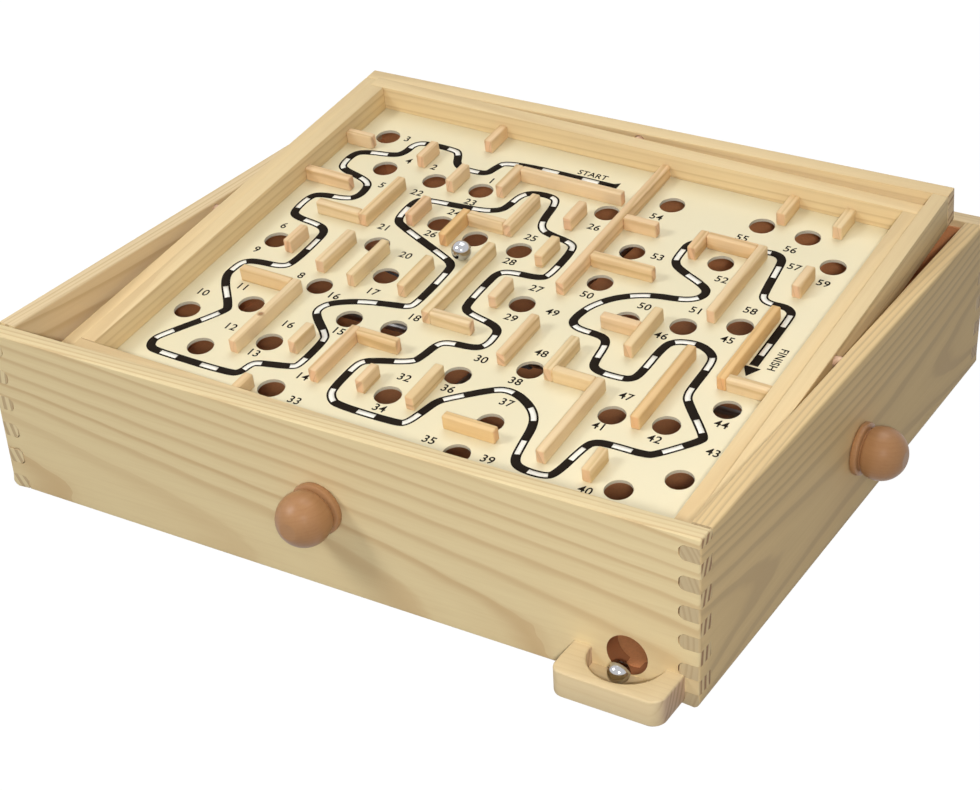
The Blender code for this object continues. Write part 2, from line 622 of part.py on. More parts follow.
def add_knobs_and_shafts():
    """Each steel shaft turns in two walls, with a knob outside and a push-on clip inside."""
    front_face = -half_depth - FRONT_KNOB_STANDOFF
    side_face = half_length + SIDE_KNOB_STANDOFF
    profile = knob_profile()
    turned("front_knob", profile, False, KNOB_STEPS, BEECH, (0, front_face, FRONT_SHAFT_Z), (pi / 2, 0, 0))
    turned("side_knob", profile, False, KNOB_STEPS, BEECH, (side_face, 0, SIDE_SHAFT_Z), (0, pi / 2, 0))
    grip = KNOB_BORE_DEPTH - GAP
    shaft = add("front_shaft", rods("front_shaft", [
        ((0, front_face - grip, 0), (0, inner_y + SHAFT_END_DEPTH - GAP, 0))], SHAFT_RADIUS),
        ROD_STEEL, box_middle, (0, 0, FRONT_SHAFT_Z))
    smooth(shaft)
    shaft = add("side_shaft", rods("side_shaft", [
        ((-inner_x - SHAFT_END_DEPTH + GAP, 0, 0), (side_face + grip, 0, 0))], SHAFT_RADIUS),
        ROD_STEEL, box_middle, (0, 0, SIDE_SHAFT_Z))
    smooth(shaft)
    bore = SHAFT_RADIUS + GAP
    ring = [(bore, CLIP_THICKNESS), (CLIP_RADIUS, CLIP_THICKNESS), (CLIP_RADIUS, 0), (bore, 0)]
    turned("front_shaft_clip", ring, True, CLIP_STEPS, ROD_STEEL,
           (0, -inner_y + GAP, FRONT_SHAFT_Z), (-pi / 2, 0, 0))
    turned("side_shaft_clip", ring, True, CLIP_STEPS, ROD_STEEL,
           (inner_x - GAP, 0, SIDE_SHAFT_Z), (0, -pi / 2, 0))


def stored_places():
    """Where the outer frame and the board lie as stored, in millimetres."""
    frame = Matrix.Translation((0, 0, PIVOT_Z)) @ Matrix.Rotation(FRAME_TILT, 4, "X")
    return frame, frame @ Matrix.Rotation(BOARD_TILT, 4, "Y")


def winding_points(middle, axis, along):
    """The turns of a cord round a shaft, from its underside back to its underside."""
    radius = SHAFT_RADIUS + GAP + CORD_RADIUS
    count = CORD_TURN_POINTS * CORD_TURNS
    points = []
    for index in range(count + 1):
        share = index / count
        angle = 2 * pi * CORD_TURNS * share
        centre = middle + axis * (share - 0.5) * CORD_SPREAD
        points.append(centre + radius * (along * sin(angle) - Vector((0, 0, cos(angle)))))
    return points


def least_gap(points, points_per_turn, radius):
    """The smallest space between one turn and the next."""
    pairs = zip(points, points[points_per_turn:])
    return min((second - first).length for first, second in pairs) - 2 * radius


def add_cord(name, first, last, up, axis, middle):
    """A cord from the rail above first, wound round its shaft, to the spring on its other run."""
    along = (last - first - axis * (last - first).dot(axis))
    along.z = 0
    along.normalize()
    winding = winding_points(middle, axis, along)
    run = (last - winding[-1]).normalized()
    spring_start = last - run * (SPRING_TAIL + SPRING_LENGTH)
    start = first + up * 2 * CORD_DROP
    tube(name, [start, first] + winding + [spring_start - run * GAP], CORD_RADIUS, CORD)
    gap = least_gap(winding, CORD_TURN_POINTS, CORD_RADIUS)
    print(name, "least gap between turns", round(gap, 2), "mm")
    return spring_start, run


def add_spring(name, start, run, last, up, parent, place):
    """The tension spring at the end of a cord, with a straight tail glued into the rail above last."""
    across = run.cross(Vector((0, 0, 1))).normalized()
    lift = across.cross(run)
    steps = SPRING_COILS * SPRING_COIL_POINTS
    coils = []
    for index in range(steps + 1):
        share = index / steps
        angle = 2 * pi * SPRING_COILS * share
        centre = start + run * (SPRING_LEAD + share * (SPRING_LENGTH - SPRING_LEAD))
        coils.append(centre + SPRING_RADIUS * (across * cos(angle) + lift * sin(angle)))
    lead = [start, start + run * SPRING_LEAD / 2]
    tail = [start + run * (SPRING_LENGTH + SPRING_LEAD), last, last + up * 2 * CORD_DROP]
    wire = [place.inverted() @ point for point in lead + coils + tail]
    tube(name, wire, SPRING_WIRE_RADIUS, ROD_STEEL, parent)
    gap = least_gap(coils, SPRING_COIL_POINTS, SPRING_WIRE_RADIUS)
    print(name, "least gap between coils", round(gap, 2), "mm")


def add_cords():
    """The side knob's cord tips the outer frame, and the front knob's cord tips the board."""
    frame, board = stored_places()
    frame_up = frame.to_3x3() @ Vector((0, 0, 1))
    board_up = board.to_3x3() @ Vector((0, 0, 1))
    under_rail = FRAME_BOTTOM - CORD_DROP
    front_end = frame @ Vector((SIDE_CORD_X - CORD_SPREAD / 2, -rail_middle_y, under_rail))
    back_end = frame @ Vector((SIDE_CORD_X + CORD_SPREAD / 2, rail_middle_y, under_rail))
    start, run = add_cord("frame_cord", front_end, back_end, frame_up, Vector((1, 0, 0)),
                          Vector((SIDE_CORD_X, 0, SIDE_SHAFT_Z)))
    add_spring("frame_cord_spring", start, run, back_end, frame_up, frame_pivot, frame)
    under_rim = RIM_BOTTOM - CORD_DROP
    right_end = board @ Vector((rim_middle_x, FRONT_CORD_Y - CORD_SPREAD / 2, under_rim))
    left_end = board @ Vector((-rim_middle_x, FRONT_CORD_Y + CORD_SPREAD / 2, under_rim))
    start, run = add_cord("board_cord", right_end, left_end, board_up, Vector((0, 1, 0)),
                          Vector((0, FRONT_CORD_Y, FRONT_SHAFT_Z)))
    add_spring("board_cord_spring", start, run, left_end, board_up, board_pivot, board)


def add_balls():
    """One ball on the board and one in the catch tray."""
    for name, parent, spot in (
        ("board_ball", board_pivot, (*BOARD_BALL, PANEL_TOP + GAP + BALL_RADIUS)),
        ("tray_ball", box_middle, (*TRAY_BALL, SCOOP_FLOOR + GAP + BALL_RADIUS)),
    ):
        mesh = bpy.data.meshes.new(name)
        shape = bmesh.new()
        bmesh.ops.create_uvsphere(shape, u_segments=BALL_SEGMENTS, v_segments=BALL_RINGS,
                                  radius=BALL_RADIUS * MM)
        shape.to_mesh(mesh)
        shape.free()
        smooth(add(name, mesh, BALL_STEEL, parent, spot))


add_front_and_back()
add_left_and_right()
add_floor()
add_tray()
add_pins()
add_outer_frame()
add_board()
add_maze_walls()
add_knobs_and_shafts()
add_cords()
add_balls()
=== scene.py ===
"""Looks of the wooden tilting labyrinth game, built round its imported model."""

from math import cos, pi, radians, sin, sqrt
from random import Random

import bmesh
import bpy
from mathutils import Matrix, Vector


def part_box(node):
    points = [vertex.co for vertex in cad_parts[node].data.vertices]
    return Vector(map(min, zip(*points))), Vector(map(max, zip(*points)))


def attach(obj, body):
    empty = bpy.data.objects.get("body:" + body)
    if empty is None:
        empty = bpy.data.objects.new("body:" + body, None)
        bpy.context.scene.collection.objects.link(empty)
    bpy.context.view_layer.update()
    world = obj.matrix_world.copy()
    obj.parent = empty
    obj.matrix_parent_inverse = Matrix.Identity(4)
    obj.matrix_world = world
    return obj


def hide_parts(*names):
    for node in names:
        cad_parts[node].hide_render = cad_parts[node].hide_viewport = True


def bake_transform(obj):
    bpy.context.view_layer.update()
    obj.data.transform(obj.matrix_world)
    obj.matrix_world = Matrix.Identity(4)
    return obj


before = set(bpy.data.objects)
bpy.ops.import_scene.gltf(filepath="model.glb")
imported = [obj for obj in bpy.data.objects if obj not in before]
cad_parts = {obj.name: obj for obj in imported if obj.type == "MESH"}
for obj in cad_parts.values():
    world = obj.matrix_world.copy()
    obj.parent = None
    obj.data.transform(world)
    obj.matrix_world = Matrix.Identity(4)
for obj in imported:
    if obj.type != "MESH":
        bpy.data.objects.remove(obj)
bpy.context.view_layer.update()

# Camera and studio. The view looks down on the near right corner, from the front and a little to the right.
# Soft lamps stand round a plain white floor, and a small one on the camera's line shines down the ball holes.
CAMERA_PLACE = (0.45474, -0.56566, 0.51086)
CAMERA_TURN = radians(29.243)
CAMERA_DROP = radians(34.032)
CAMERA_ROLL = radians(-1.041)
CAMERA_LENS = 75.72
CAMERA_SHIFT = (-0.1297, 0.1308)
FLOOR_COLOUR = (0.18, 0.18, 0.18)
FLOOR_SEEN_WHITE = 0.88
FLOOR_WHITE = 1.13
FLOOR_SIZE = 8.0
ROOM_LIGHT = 0.12
WHITE = (1, 1, 1)

camera = bpy.data.objects.new("camera", bpy.data.cameras.new("camera"))
bpy.context.scene.collection.objects.link(camera)
bpy.context.scene.camera = camera
camera.data.lens = CAMERA_LENS
camera.data.sensor_width = 36
camera.data.shift_x, camera.data.shift_y = CAMERA_SHIFT
camera.matrix_world = (
    Matrix.Translation(CAMERA_PLACE) @ Matrix.Rotation(CAMERA_TURN, 4, "Z")
    @ Matrix.Rotation(pi / 2 - CAMERA_DROP, 4, "X") @ Matrix.Rotation(CAMERA_ROLL, 4, "Z")
)

bpy.context.scene.view_settings.view_transform = "Standard"


def soft_lamp(name, place, size, watts, aim=(0, 0.148, 0.03)):
    """A square soft box at a place, turned towards the middle of the game."""
    lamp = bpy.data.objects.new(name, bpy.data.lights.new(name, "AREA"))
    bpy.context.scene.collection.objects.link(lamp)
    lamp.data.size = size
    lamp.data.energy = watts
    lamp.location = place
    lamp.rotation_euler = (Vector(aim) - Vector(place)).to_track_quat("-Z", "Y").to_euler()
    return lamp


soft_lamp("key_lamp", (-0.9, -0.8, 1.2), 0.45, 11.3)
soft_lamp("top_lamp", (-0.1, 0.9, 2.1), 1.4, 18)
soft_lamp("fill_lamp", (1.15, -1.5, 1.3), 0.6, 8.5)
camera_lamp = soft_lamp("camera_lamp", (0.605, -0.802, 0.646), 0.06, 6.5)
camera_lamp.visible_glossy = False

world = bpy.data.worlds.new("studio")
bpy.context.scene.world = world
world.use_nodes = True


class Shading:
    """A node tree under way, and short ways to add steps to it."""

    def __init__(self, tree):
        self.nodes, self.links = tree.nodes, tree.links

    def wire(self, socket, value):
        """Links a socket to another one, or sets it to a number, a colour or a vector."""
        if isinstance(value, bpy.types.NodeSocket):
            self.links.new(value, socket)
        elif socket.type == "RGBA":
            socket.default_value = (*value, 1)
        else:
            socket.default_value = value

    def add(self, kind, inputs, output=0, **settings):
        """Adds a node with its settings and inputs, and returns one of its outputs."""
        node = self.nodes.new("ShaderNode" + kind)
        for setting, value in settings.items():
            setattr(node, setting, value)
        for name, value in inputs.items():
            self.wire(node.inputs[name], value)
        return node.outputs[output]

    def math(self, kind, *values):
        return self.add("Math", dict(enumerate(values)), operation=kind)

    def hypotenuse(self, first, second):
        squares = [self.math("MULTIPLY", side, side) for side in (first, second)]
        return self.math("SQRT", self.math("ADD", *squares))

    def against(self, kind, vector, fixed):
        """The dot product of a vector with a fixed one, or its distance from it."""
        return self.add("VectorMath", {0: vector, 1: fixed}, "Value", operation=kind)

    def parts(self, vector):
        node = self.nodes.new("ShaderNodeSeparateXYZ")
        self.wire(node.inputs[0], vector)
        return node.outputs

    def remap(self, value, low, high, to_low=0.0, to_high=1.0):
        return self.add("MapRange", {"Value": value, "From Min": low, "From Max": high, "To Min": to_low,
                                     "To Max": to_high}, "Result")

    def mix(self, share, first, second, kind="MIX"):
        return self.add("Mix", {"Factor": share, "A": first, "B": second}, "Result", data_type="RGBA",
                        blend_type=kind)

    def cloud(self, vector, scale, detail=2.0, offset=0.0):
        """Noise on a vector that is first stretched by a scale along each axis."""
        stretched = self.add("Mapping", {"Vector": vector, "Scale": scale, "Location": [offset] * 3})
        return self.add("TexNoise", {"Vector": stretched, "Scale": 1.0, "Detail": detail}, "Fac")


class Finish(Shading):
    """A new material, with its shader and the place, normal and UV map that its patterns read."""

    def __init__(self, name):
        self.material = bpy.data.materials.new(name)
        self.material.use_nodes = True
        super().__init__(self.material.node_tree)
        self.shader = self.nodes["Principled BSDF"]
        read = self.nodes.new("ShaderNodeTexCoord").outputs
        self.place, self.normal, self.uv = read["Object"], read["Normal"], read["UV"]

    def made_of(self, inputs):
        """Sets these inputs of the shader, and returns the material."""
        for name, value in inputs.items():
            self.wire(self.shader.inputs[name], value)
        return self.material

    def bump(self, height, strength):
        """The normal of a surface that is raised by a fifth of a millimetre at most."""
        return self.add("Bump", {"Height": height, "Strength": strength, "Distance": 0.0002})


def white_for_the_eye(shading, lit, part, strength):
    """Mixes plain white glow into a shader, for rays from the camera, off gloss and through glass."""
    rays = shading.nodes.new("ShaderNodeLightPath").outputs
    seen = shading.math("MAXIMUM", rays["Is Camera Ray"], rays["Is Glossy Ray"])
    seen = shading.math("MAXIMUM", seen, rays["Is Transmission Ray"])
    glow = shading.add("Emission", {"Color": WHITE, "Strength": strength})
    return shading.add("MixShader", {0: shading.math("MULTIPLY", seen, part), 1: lit, 2: glow})


world.node_tree.nodes.clear()
sky = Shading(world.node_tree)
room = sky.add("Background", {"Color": WHITE, "Strength": ROOM_LIGHT})
world_out = sky.nodes.new("ShaderNodeOutputWorld")
sky.wire(world_out.inputs["Surface"], white_for_the_eye(sky, room, 1.0, 1.0))

bpy.ops.mesh.primitive_plane_add(size=FLOOR_SIZE)
floor = bpy.context.object
floor.name = "studio_floor"
paint = Finish("studio_floor")
floor.data.materials.append(paint.made_of({"Base Color": FLOOR_COLOUR, "Roughness": 0.9}))
floor_seen = white_for_the_eye(paint, paint.shader.outputs[0], FLOOR_SEEN_WHITE, FLOOR_WHITE)
paint.wire(paint.nodes["Material Output"].inputs["Surface"], floor_seen)

# Box walls. Four pale pine boards, planed and clear varnished, with finger joints that are glued and sanded
# flush. Each board has its own growth rings, round a pith line that lies outside the board, nearly along it.
MM = 0.001
BOX_HALF = 176.0
BOX_FRONT = -4.5
BOX_BACK = 300.5
BOX_MIDDLE_Y = 148.0
BOX_HEIGHT = 80.0
WALL = 9.0
FINGER = 6.9
FIRST_FINGER = 6.65
FINGER_ROUND = 2.4
JOINT = 0.04
ROOT_GAP = 0.6
WALL_EDGE = 1.1
FOOT_EDGE = 3.5
FRONT_SHAFT_Z = 42.0
SIDE_SHAFT_Z = 36.0
PIVOT_Z = 75.55
SHAFT_BORE = 2.8
OUTLET = (144.0, 15.4)
OUTLET_RADIUS = 9.2
PINE_PALE = (0.800, 0.635, 0.385)
PINE_RING = (0.640, 0.465, 0.245)
PINE_END = (0.740, 0.570, 0.360)
PINE_END_RING = (0.330, 0.180, 0.090)
# Inside the outlet bore the pine is coloured dark red-brown: its darker end grain, deepened by painted shade.
BORE_END_GRAIN_AND_SHADE = (0.330, 0.125, 0.050)
BORE_SHADE_REACH = 0.02
YEAR_ENDS = (0.6, 0.9)
YEAR_SHADE = ((0.10, 0.10), (0.30, 0.0), (0.62, 0.18), (0.93, 1.0))
PAST = 1.0
NEAR = 0.01


def added(name):
    """Names the object that was just added, and applies its place and its size to its mesh."""
    piece = bpy.context.object
    piece.name = piece.data.name = name
    bpy.ops.object.transform_apply()
    return piece


def block(name, low, high):
    """A cube at its size and place, given in millimetres."""
    low, high = Vector(low), Vector(high)
    bpy.ops.mesh.primitive_cube_add(size=1, location=(low + high) / 2 * MM, scale=(high - low) * MM)
    return added(name)


def rod(name, start, end, radius, sides=48):
    """A cylinder between two points, given in millimetres."""
    start, end = Vector(start), Vector(end)
    turn = (end - start).to_track_quat("Z", "Y").to_euler()
    bpy.ops.mesh.primitive_cylinder_add(vertices=sides, radius=radius * MM, depth=(end - start).length * MM,
                                        location=(start + end) / 2 * MM, rotation=turn)
    return added(name)


def placed(place, angle=0.0, axis="Z"):
    """A place, given in metres, with a turn about one of its axes."""
    return Matrix.Translation(place) @ Matrix.Rotation(angle, 4, axis)


def pick_out(piece):
    """Selects one object alone and makes it the active one."""
    bpy.ops.object.select_all(action="DESELECT")
    piece.select_set(True)
    bpy.context.view_layer.objects.active = piece


def apply_modifier(piece, kind, **settings):
    """Adds a modifier with these settings and applies it."""
    step = piece.modifiers.new(kind.lower(), kind)
    for setting, value in settings.items():
        setattr(step, setting, value)
    pick_out(piece)
    bpy.ops.object.modifier_apply(modifier=step.name)


def join(name, pieces):
    """Several meshes made one object."""
    bpy.ops.object.select_all(action="DESELECT")
    for piece in pieces:
        piece.select_set(True)
    bpy.context.view_layer.objects.active = pieces[0]
    bpy.ops.object.join()
    pieces[0].name = pieces[0].data.name = name
    return pieces[0]


def pick_faces(piece, test):
    """In edit mode, selects the faces whose middle (in millimetres) and normal pass the test."""
    bpy.ops.mesh.select_mode(type="FACE")
    bpy.ops.mesh.select_all(action="DESELECT")
    shape = bmesh.from_edit_mesh(piece.data)
    for face in shape.faces:
        face.select_set(bool(test(face.calc_center_median() / MM, face.normal)))
    bmesh.update_edit_mesh(piece.data)


def round_edges(piece, width, segments, test):
    """In edit mode, rounds the edges whose two ends (in millimetres) pass the test."""
    bpy.ops.mesh.select_mode(type="EDGE")
    bpy.ops.mesh.select_all(action="DESELECT")
    shape = bmesh.from_edit_mesh(piece.data)
    for edge in shape.edges:
        edge.select_set(bool(test(edge.verts[0].co / MM, edge.verts[1].co / MM)))
    bmesh.update_edit_mesh(piece.data)
    bpy.ops.mesh.bevel(offset=width * MM, segments=segments, affect="EDGES")


def cut_with(piece, tool):
    """Cuts the tool out of the piece, after which the tool goes."""
    apply_modifier(piece, "BOOLEAN", solver="EXACT", object=tool)
    bpy.data.objects.remove(tool)


def smooth_shade(piece, angle=30):
    pick_out(piece)
    bpy.ops.object.shade_smooth_by_angle(angle=radians(angle))


def wood(name, pith, rings, crook=0.0, pale=PINE_PALE, ring=PINE_RING, end=PINE_END, end_ring=PINE_END_RING,
         wander=0.5, contrast=1.0, end_contrast=0.8, end_step=None, roughness=0.6, lacquer=0.0, tinted=False,
         knot=None, bore=None):
    """Sawn and varnished wood. The pith's X axis is the tree's middle, and rings are the radii of its years.

    The crook bends the rings away from a straight pith towards the two ends of the board. With an end step,
    in millimetres, the sawn ends show broad dark bars so far apart, as varnish soaks into some years more.
    """
    board = Finish(name)
    math, mix = board.math, board.mix
    log = board.add("Mapping", {"Vector": board.place, "Location": pith.to_translation(),
                                "Rotation": pith.to_euler()}, vector_type="TEXTURE")
    along, *across = board.parts(log)
    bent = math("MULTIPLY_ADD", math("MULTIPLY", along, along), crook, board.hypotenuse(*across))
    broad = math("SUBTRACT", board.cloud(log, (7, 28, 28)), 0.5)
    small = math("SUBTRACT", board.cloud(log, (45, 160, 160), 1.0, 3.0), 0.5)
    shaken = math("ADD", math("MULTIPLY", broad, 2.4 * wander * MM),
                  math("MULTIPLY", small, 0.7 * wander * MM))
    radius = math("ADD", bent, shaken)
    low, high = rings[0] * MM, rings[-1] * MM
    years = board.nodes.new("ShaderNodeFloatCurve")
    curve = years.mapping.curves[0]
    for index, line in enumerate(rings[1:-1]):
        curve.points.new((line * MM - low) / (high - low), (index + 1) / (len(rings) - 1))
    for point in curve.points:
        point.handle_type = "VECTOR"
    years.mapping.update()
    board.wire(years.inputs["Value"], math("DIVIDE", math("SUBTRACT", radius, low), high - low))
    count = math("MULTIPLY", years.outputs[0], len(rings) - 1.0)
    year = board.add("TexWhiteNoise", {"W": math("FLOOR", count)}, "Value", noise_dimensions="1D")
    growth = board.nodes.new("ShaderNodeValToRGB")
    growth.color_ramp.interpolation = "EASE"
    stops = growth.color_ramp.elements
    for stop, level in zip(stops, YEAR_ENDS):
        stop.color = (level, level, level, 1)
    for position, level in YEAR_SHADE:
        stops.new(position).color = (level, level, level, 1)
    board.wire(growth.inputs["Fac"], math("FRACT", count))
    growth = growth.outputs["Color"]
    ringed = math("MULTIPLY", growth, math("MULTIPLY_ADD", year, 0.55 * contrast, 0.45 * contrast))
    fibre = board.cloud(log, (14, 900, 900), 3.0)
    colour = mix(board.remap(fibre, 0.40, 0.80, 0.0, 0.20), mix(ringed, pale, ring), ring)
    patches = math("MULTIPLY", board.cloud(log, (5, 20, 20), 1.0, 7.0), 0.35)
    colour = mix(patches, colour, (1.0, 0.93, 0.86), "MULTIPLY")
    if end_step:
        bars = board.remap(math("FRACT", math("DIVIDE", radius, end_step * MM)), 0.45, 0.62)
        end_lines = math("MULTIPLY", bars, end_contrast)
    else:
        end_lines = math("MULTIPLY", board.remap(growth, 0.12, 0.32),
                         board.remap(year, 0.35, 0.50, 0.15 * end_contrast, end_contrast))
    facing = board.against("DOT_PRODUCT", board.normal, pith.to_3x3() @ Vector((1, 0, 0)))
    facing = math("POWER", math("ABSOLUTE", facing), 5.0)
    colour = mix(facing, colour, mix(end_lines, end, end_ring))
    if knot:
        spot = board.remap(board.against("DISTANCE", board.place, knot), 2.0 * MM, 0.8 * MM)
        colour = mix(spot, colour, (0.34, 0.18, 0.08))
    # Painted shade: the walls of the outlet bore take a dark red-brown, end grain darkened as if shaded in
    # the bore.
    if bore:
        x, _, z = board.parts(board.place)
        off_axis = board.hypotenuse(math("SUBTRACT", x, bore[0] * MM), math("SUBTRACT", z, bore[1] * MM))
        colour = mix(math("LESS_THAN", off_axis, bore[2] * MM), colour, BORE_END_GRAIN_AND_SHADE)
    if tinted:
        tint = board.add("Attribute", {}, "Color", attribute_name="tint")
        colour = mix(1.0, colour, tint, "MULTIPLY")
    raised = board.bump(math("ADD", fibre, math("MULTIPLY", ringed, 0.6)), 0.12)
    rough = math("MULTIPLY_ADD", fibre, 0.16, roughness - 0.08)
    return board.made_of({"Base Color": colour, "Roughness": rough, "Normal": raised,
                          "Specular IOR Level": 0.3, "Coat Weight": lacquer, "Coat Roughness": 0.3})


def dress(piece, material, body, slot, *stands_for):
    """Gives a finished piece its material and its body, and hides the nodes it stands for. The slot is not
    used.
    """
    piece.data.materials.clear()
    piece.data.materials.append(material)
    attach(piece, body)
    if stands_for:
        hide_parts(*stands_for)


long_bands = [(FIRST_FINGER + 2 * FINGER * step, FIRST_FINGER + (2 * step + 1) * FINGER)
              for step in range(5)]
long_bands.append((long_bands[-1][1] + FINGER, BOX_HEIGHT))
short_bands = [(0.0, FIRST_FINGER)] + [(top, top + FINGER) for bottom, top in long_bands[:-1]]


def put(piece, place):
    """Sets a finished piece in its place, in its mesh."""
    pick_out(piece)
    piece.matrix_world = place
    bpy.ops.object.transform_apply()


def finger_board(name, low, high, axis, bands):
    """A board whose two ends along the axis are drawn out into fingers at the given heights.

    The cutter is round, so the notches of the long boards and the fingers that fill them have rounded roots.
    """
    piece = block(name, low, high)
    bpy.ops.object.mode_set(mode="EDIT")
    heights = {bottom + JOINT for bottom, top in bands} | {top - JOINT for bottom, top in bands}
    for height in sorted(heights):
        if 1 < height < BOX_HEIGHT - 1:
            bpy.ops.mesh.select_all(action="SELECT")
            bpy.ops.mesh.bisect(plane_co=(0, 0, height * MM), plane_no=(0, 0, 1))
    for sign in (-1, 1):
        way = Vector((0, 0, 0))
        way[axis] = sign
        pick_faces(piece, lambda middle, normal: normal.dot(way) > 0.9
                   and any(bottom < middle.z < top for bottom, top in bands))
        bpy.ops.mesh.extrude_region_move(TRANSFORM_OT_translate={"value": way * (WALL + ROOT_GAP) * MM})
    ends = ((-BOX_HALF, BOX_HALF), (BOX_FRONT, BOX_BACK))[axis]
    faces = ((BOX_FRONT, BOX_BACK), (-BOX_HALF, BOX_HALF))[axis]
    sides = (low[1 - axis], high[1 - axis])
    across = 1 - axis

    def at(value, places):
        return min(abs(value - place) for place in places) < NEAR

    def edge_along_top_or_foot(a, b):
        level = abs(a.z - b.z) < NEAR and (a.z > BOX_HEIGHT - NEAR or a.z < NEAR)
        at_end = at(a[axis], ends) and at(b[axis], ends)
        upright = at_end and at(a[across], faces) and at(b[across], faces)
        along = abs(a[across] - b[across]) < NEAR and at(a[across], sides)
        return upright or level and (at_end or along)

    root = BOX_HALF - WALL - (ROOT_GAP if axis == 0 else 0)

    def finger_root(a, b):
        level = abs(a.z - b.z) < NEAR and abs(a.y - b.y) < WALL + 1 and 1 < a.z < BOX_HEIGHT - 1
        at_end = min(a.y, b.y) < BOX_FRONT + WALL - 1 or max(a.y, b.y) > BOX_BACK - WALL + 1
        return at(abs(a.x), (root,)) and at(abs(b.x), (root,)) and level and (axis == 0 or at_end)

    if axis == 1:
        round_edges(piece, FOOT_EDGE, 6,
                    lambda a, b: max(a.z, b.z) < NEAR and at(a.x, faces) and at(b.x, faces))
    round_edges(piece, WALL_EDGE, 3, edge_along_top_or_foot)
    round_edges(piece, FINGER_ROUND, 6, finger_root)
    bpy.ops.object.mode_set(mode="OBJECT")
    return piece


inner_x = BOX_HALF - WALL
inner_y = (BOX_BACK - BOX_FRONT) / 2 - WALL
root_x = inner_x - ROOT_GAP
start_y, stop_y = BOX_FRONT + WALL + ROOT_GAP, BOX_BACK - WALL - ROOT_GAP
front_wall, back_wall, left_wall, right_wall = (
    finger_board(name + "_wall_board", (*low, 0), (*high, BOX_HEIGHT), axis, (long_bands, short_bands)[axis])
    for name, low, high, axis in (
        ("front", (-root_x, BOX_FRONT), (root_x, BOX_FRONT + WALL), 0),
        ("back", (-root_x, BOX_BACK - WALL), (root_x, BOX_BACK), 0),
        ("left", (-BOX_HALF, start_y), (-inner_x, stop_y), 1),
        ("right", (inner_x, start_y), (BOX_HALF, stop_y), 1),
    ))
FLOOR_MIDDLE_TOP = 12.7
FLOOR_THICKNESS = 3.0
FLOOR_SLOPE_X = -0.021
FLOOR_SLOPE_Y = 0.021
GROOVE = 4.1
GROOVE_PLAY = 0.15
BORE_REST = 3.0


def floor_groove(half_x, half_y):
    """A leaned plate, a little thicker than the sloping floor, as a cutter for the grooves it sits in."""
    plate = block("floor_groove", (-half_x, -half_y, -FLOOR_THICKNESS - GROOVE_PLAY),
                  (half_x, half_y, GROOVE_PLAY))
    upward = Vector((-FLOOR_SLOPE_X, -FLOOR_SLOPE_Y, 1)).normalized()
    lean = Vector((0, 0, 1)).rotation_difference(upward).to_matrix().to_4x4()
    put(plate, Matrix.Translation((0, BOX_MIDDLE_Y * MM, FLOOR_MIDDLE_TOP * MM)) @ lean)
    return plate


for wall in (front_wall, back_wall):
    cut_with(wall, floor_groove(inner_x - GROOVE_PLAY, inner_y + GROOVE))
    cut_with(wall, rod("shaft_bore", (0, BOX_FRONT - PAST, FRONT_SHAFT_Z),
                       (0, BOX_BACK - BORE_REST, FRONT_SHAFT_Z), SHAFT_BORE))
for wall in (left_wall, right_wall):
    cut_with(wall, floor_groove(inner_x + GROOVE, inner_y - GROOVE_PLAY))
    cut_with(wall, rod("shaft_bore", (-BOX_HALF + BORE_REST, BOX_MIDDLE_Y, SIDE_SHAFT_Z),
                       (BOX_HALF + PAST, BOX_MIDDLE_Y, SIDE_SHAFT_Z), SHAFT_BORE))
    cut_with(wall, rod("pin_bore", (-BOX_HALF + BORE_REST, BOX_MIDDLE_Y, PIVOT_Z),
                       (BOX_HALF - BORE_REST, BOX_MIDDLE_Y, PIVOT_Z), SHAFT_BORE))
cut_with(front_wall, rod("outlet_bore", (OUTLET[0], BOX_FRONT - PAST, OUTLET[1]),
                         (OUTLET[0], BOX_FRONT + WALL + PAST, OUTLET[1]), OUTLET_RADIUS, 96))

FAR_RINGS = (138, 141, 144, 147.5, 150.5, 153.5, 156.1, 158, 160.3, 163.1, 165.7, 168.1, 170.6, 173, 175.5,
             178, 181)
NEAR_RINGS = (66, 69.5, 72, 74.5, 77, 79.3, 81.4, 83.7, 86.8, 88.8, 90.6, 93.1, 95.5, 98, 101, 104)
front_pith = placed((0, 0.1503, 0.005), 0.029)
back_pith = placed((0, 0.1460, 0.060), -0.022)
left_pith = placed((-0.0934, 0.148, 0.050), pi / 2)
right_pith = placed((0.0934, 0.148, 0.028), pi / 2)
FRONT_PALE = (0.790, 0.648, 0.372)
FRONT_END = (0.760, 0.580, 0.320)
LEFT_END = (0.765, 0.625, 0.365)
RIGHT_PALE = (0.790, 0.588, 0.303)
RIGHT_END = (0.560, 0.440, 0.260)
for wall, node, pith, rings, crook, pale, end, contrast, end_contrast, end_step in (
    (front_wall, "front_wall", front_pith, FAR_RINGS, 0.0, FRONT_PALE, FRONT_END, 1.05, 1.0, 3.9),
    (back_wall, "back_wall", back_pith, FAR_RINGS, 0.0, PINE_PALE, PINE_END, 0.9, 0.8, None),
    (left_wall, "left_wall", left_pith, NEAR_RINGS, -0.10, PINE_PALE, LEFT_END, 0.9, 0.5, 4.3),
    (right_wall, "right_wall", right_pith, NEAR_RINGS, -0.143, RIGHT_PALE, RIGHT_END, 1.7, 0.25, None),
):
    smooth_shade(wall)
    outlet = (*OUTLET, OUTLET_RADIUS + BORE_SHADE_REACH) if wall == front_wall else None
    dress(wall, wood(node + "_pine", pith, rings, crook, pale=pale, end=end, contrast=contrast,
                     end_contrast=end_contrast, bore=outlet, end_step=end_step), "box", "pine", node)

# Sloping floor. Red-brown hardboard let into grooves of the walls, smooth on top. Strips of the same board
# stand on it along the left and back walls.
HARDBOARD = (0.640, 0.265, 0.108)


def shaded(colour, part):
    return tuple(part * channel for channel in colour)


